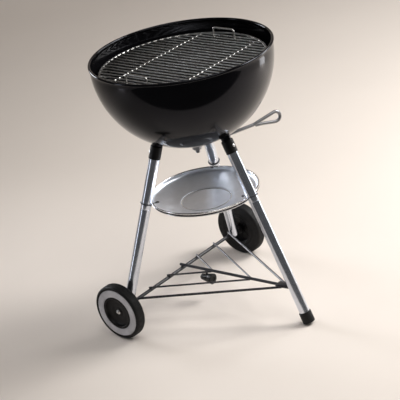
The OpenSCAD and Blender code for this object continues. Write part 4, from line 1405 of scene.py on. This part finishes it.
def paper_finish(name, colour):
    finish, tree, shader = new_finish(name)
    here = object_place(tree)
    cloudy = group_node(tree, mottle_group, here, Scale=1.4)
    tone = blend_colours(tree, cloudy.outputs[0], colour, tuple(0.97 * c for c in colour))
    tree.links.new(tone, shader.inputs["Base Color"])
    set_inputs(shader, Roughness=0.85)
    return finish


profile = [Vector((0, sheet_front, 0)), Vector((0, sheet_back, 0))]
profile += [Vector((0, sheet_back + sheet_bend_r * math.sin(math.radians(a)),
                    sheet_bend_r - sheet_bend_r * math.cos(math.radians(a)))) for a in range(6, 91, 6)]
profile += [Vector((0, sheet_back + sheet_bend_r, sheet_top))]
deselect_all()
bpy.ops.mesh.primitive_plane_add(size=0.001)
room = bpy.context.object
room.name = room.data.name = "studio_sheet"
bpy.ops.object.mode_set(mode="EDIT")
bpy.ops.mesh.select_mode(type="VERT")
bpy.ops.mesh.select_all(action="SELECT")
bpy.ops.mesh.merge(type="CENTER")
bpy.ops.transform.translate(value=(-sheet_half, profile[0].y, profile[0].z))
for here_at, there_at in zip(profile, profile[1:]):
    bpy.ops.mesh.extrude_region_move(TRANSFORM_OT_translate={"value": tuple(there_at - here_at)})
bpy.ops.mesh.select_all(action="SELECT")
bpy.ops.mesh.extrude_region_move(TRANSFORM_OT_translate={"value": (2 * sheet_half, 0, 0)})
bpy.ops.mesh.select_all(action="SELECT")
bpy.ops.mesh.normals_make_consistent(inside=False)
bpy.ops.object.mode_set(mode="OBJECT")
bpy.ops.object.shade_smooth_by_angle(angle=math.radians(30))
place(room, Matrix.Rotation(view_turn, 4, "Z"))
room.data.materials.append(paper_finish("studio_sheet", (0.8, 0.725, 0.66)))

# ---------------------------------------------------------------------------
# Light: a large soft light high on the right, a long strip low on each side for the tubes to catch, a
# small low one behind for the ash pan, one overhead and one for the sheet behind. The camera stands
# left of the grill and looks down at it a little.

target = Vector((-0.0116, 0.0453, 0.3096))


def soft_light(name, turn, height, away, size, power, colour=(1, 1, 1), aim=target, spread=180):
    lamp = bpy.data.lights.new(name, "AREA")
    lamp.shape = "RECTANGLE"
    lamp.size, lamp.size_y = size
    lamp.energy = power
    lamp.color = colour
    lamp.spread = math.radians(spread)
    holder = bpy.data.objects.new(name, lamp)
    bpy.context.collection.objects.link(holder)
    angle = math.radians(turn)
    holder.location = target + Vector((math.sin(angle) * away, -math.cos(angle) * away, height))
    holder.rotation_euler = (holder.location - aim).to_track_quat("Z", "Y").to_euler()
    return holder


soft_light("key", 48, 1.9, 2.3, (0.9, 1.2), 66, (1.0, 0.99, 0.97))
soft_light("right_card", 62, 0.3, 1.7, (0.35, 2.0), 13)
soft_light("left_card", -128, 0.4, 1.9, (0.32, 2.0), 5, (0.9, 0.93, 1.0))
soft_light("rear_left", 180, 0.42, 1.9, (0.8, 0.8), 2.2, (0.93, 0.95, 1.0), spread=40)
soft_light("overhead", -10, 3.2, 1.4, (2.0, 2.0), 40, (1.0, 0.985, 0.96))
soft_light("wall_wash", 78, 1.3, 2.6, (1.2, 1.6), 30, aim=target + Vector((1.6, 2.2, 0.4)))

world = bpy.data.worlds.new("studio")
bpy.context.scene.world = world
world.use_nodes = True
world.node_tree.nodes["Background"].inputs["Color"].default_value = (0.9, 0.88, 0.87, 1.0)
world.node_tree.nodes["Background"].inputs["Strength"].default_value = 0.09

view_lift = math.radians(24.4)
view_roll = math.radians(10.0)
view_away = 3.9535
back = Vector((math.sin(view_turn) * math.cos(view_lift), -math.cos(view_turn) * math.cos(view_lift),
               math.sin(view_lift)))
eye_data = bpy.data.cameras.new("view")
eye_data.sensor_width = 36.0
eye_data.lens = 135.0
eye = bpy.data.objects.new("view", eye_data)
bpy.context.collection.objects.link(eye)
level = back.to_track_quat("Z", "Y").to_matrix().to_4x4()
eye.matrix_world = Matrix.Translation(target + back * view_away) @ level @ Matrix.Rotation(-view_roll, 4, "Z")
bpy.context.scene.camera = eye
bpy.context.scene.view_settings.view_transform = "Standard"
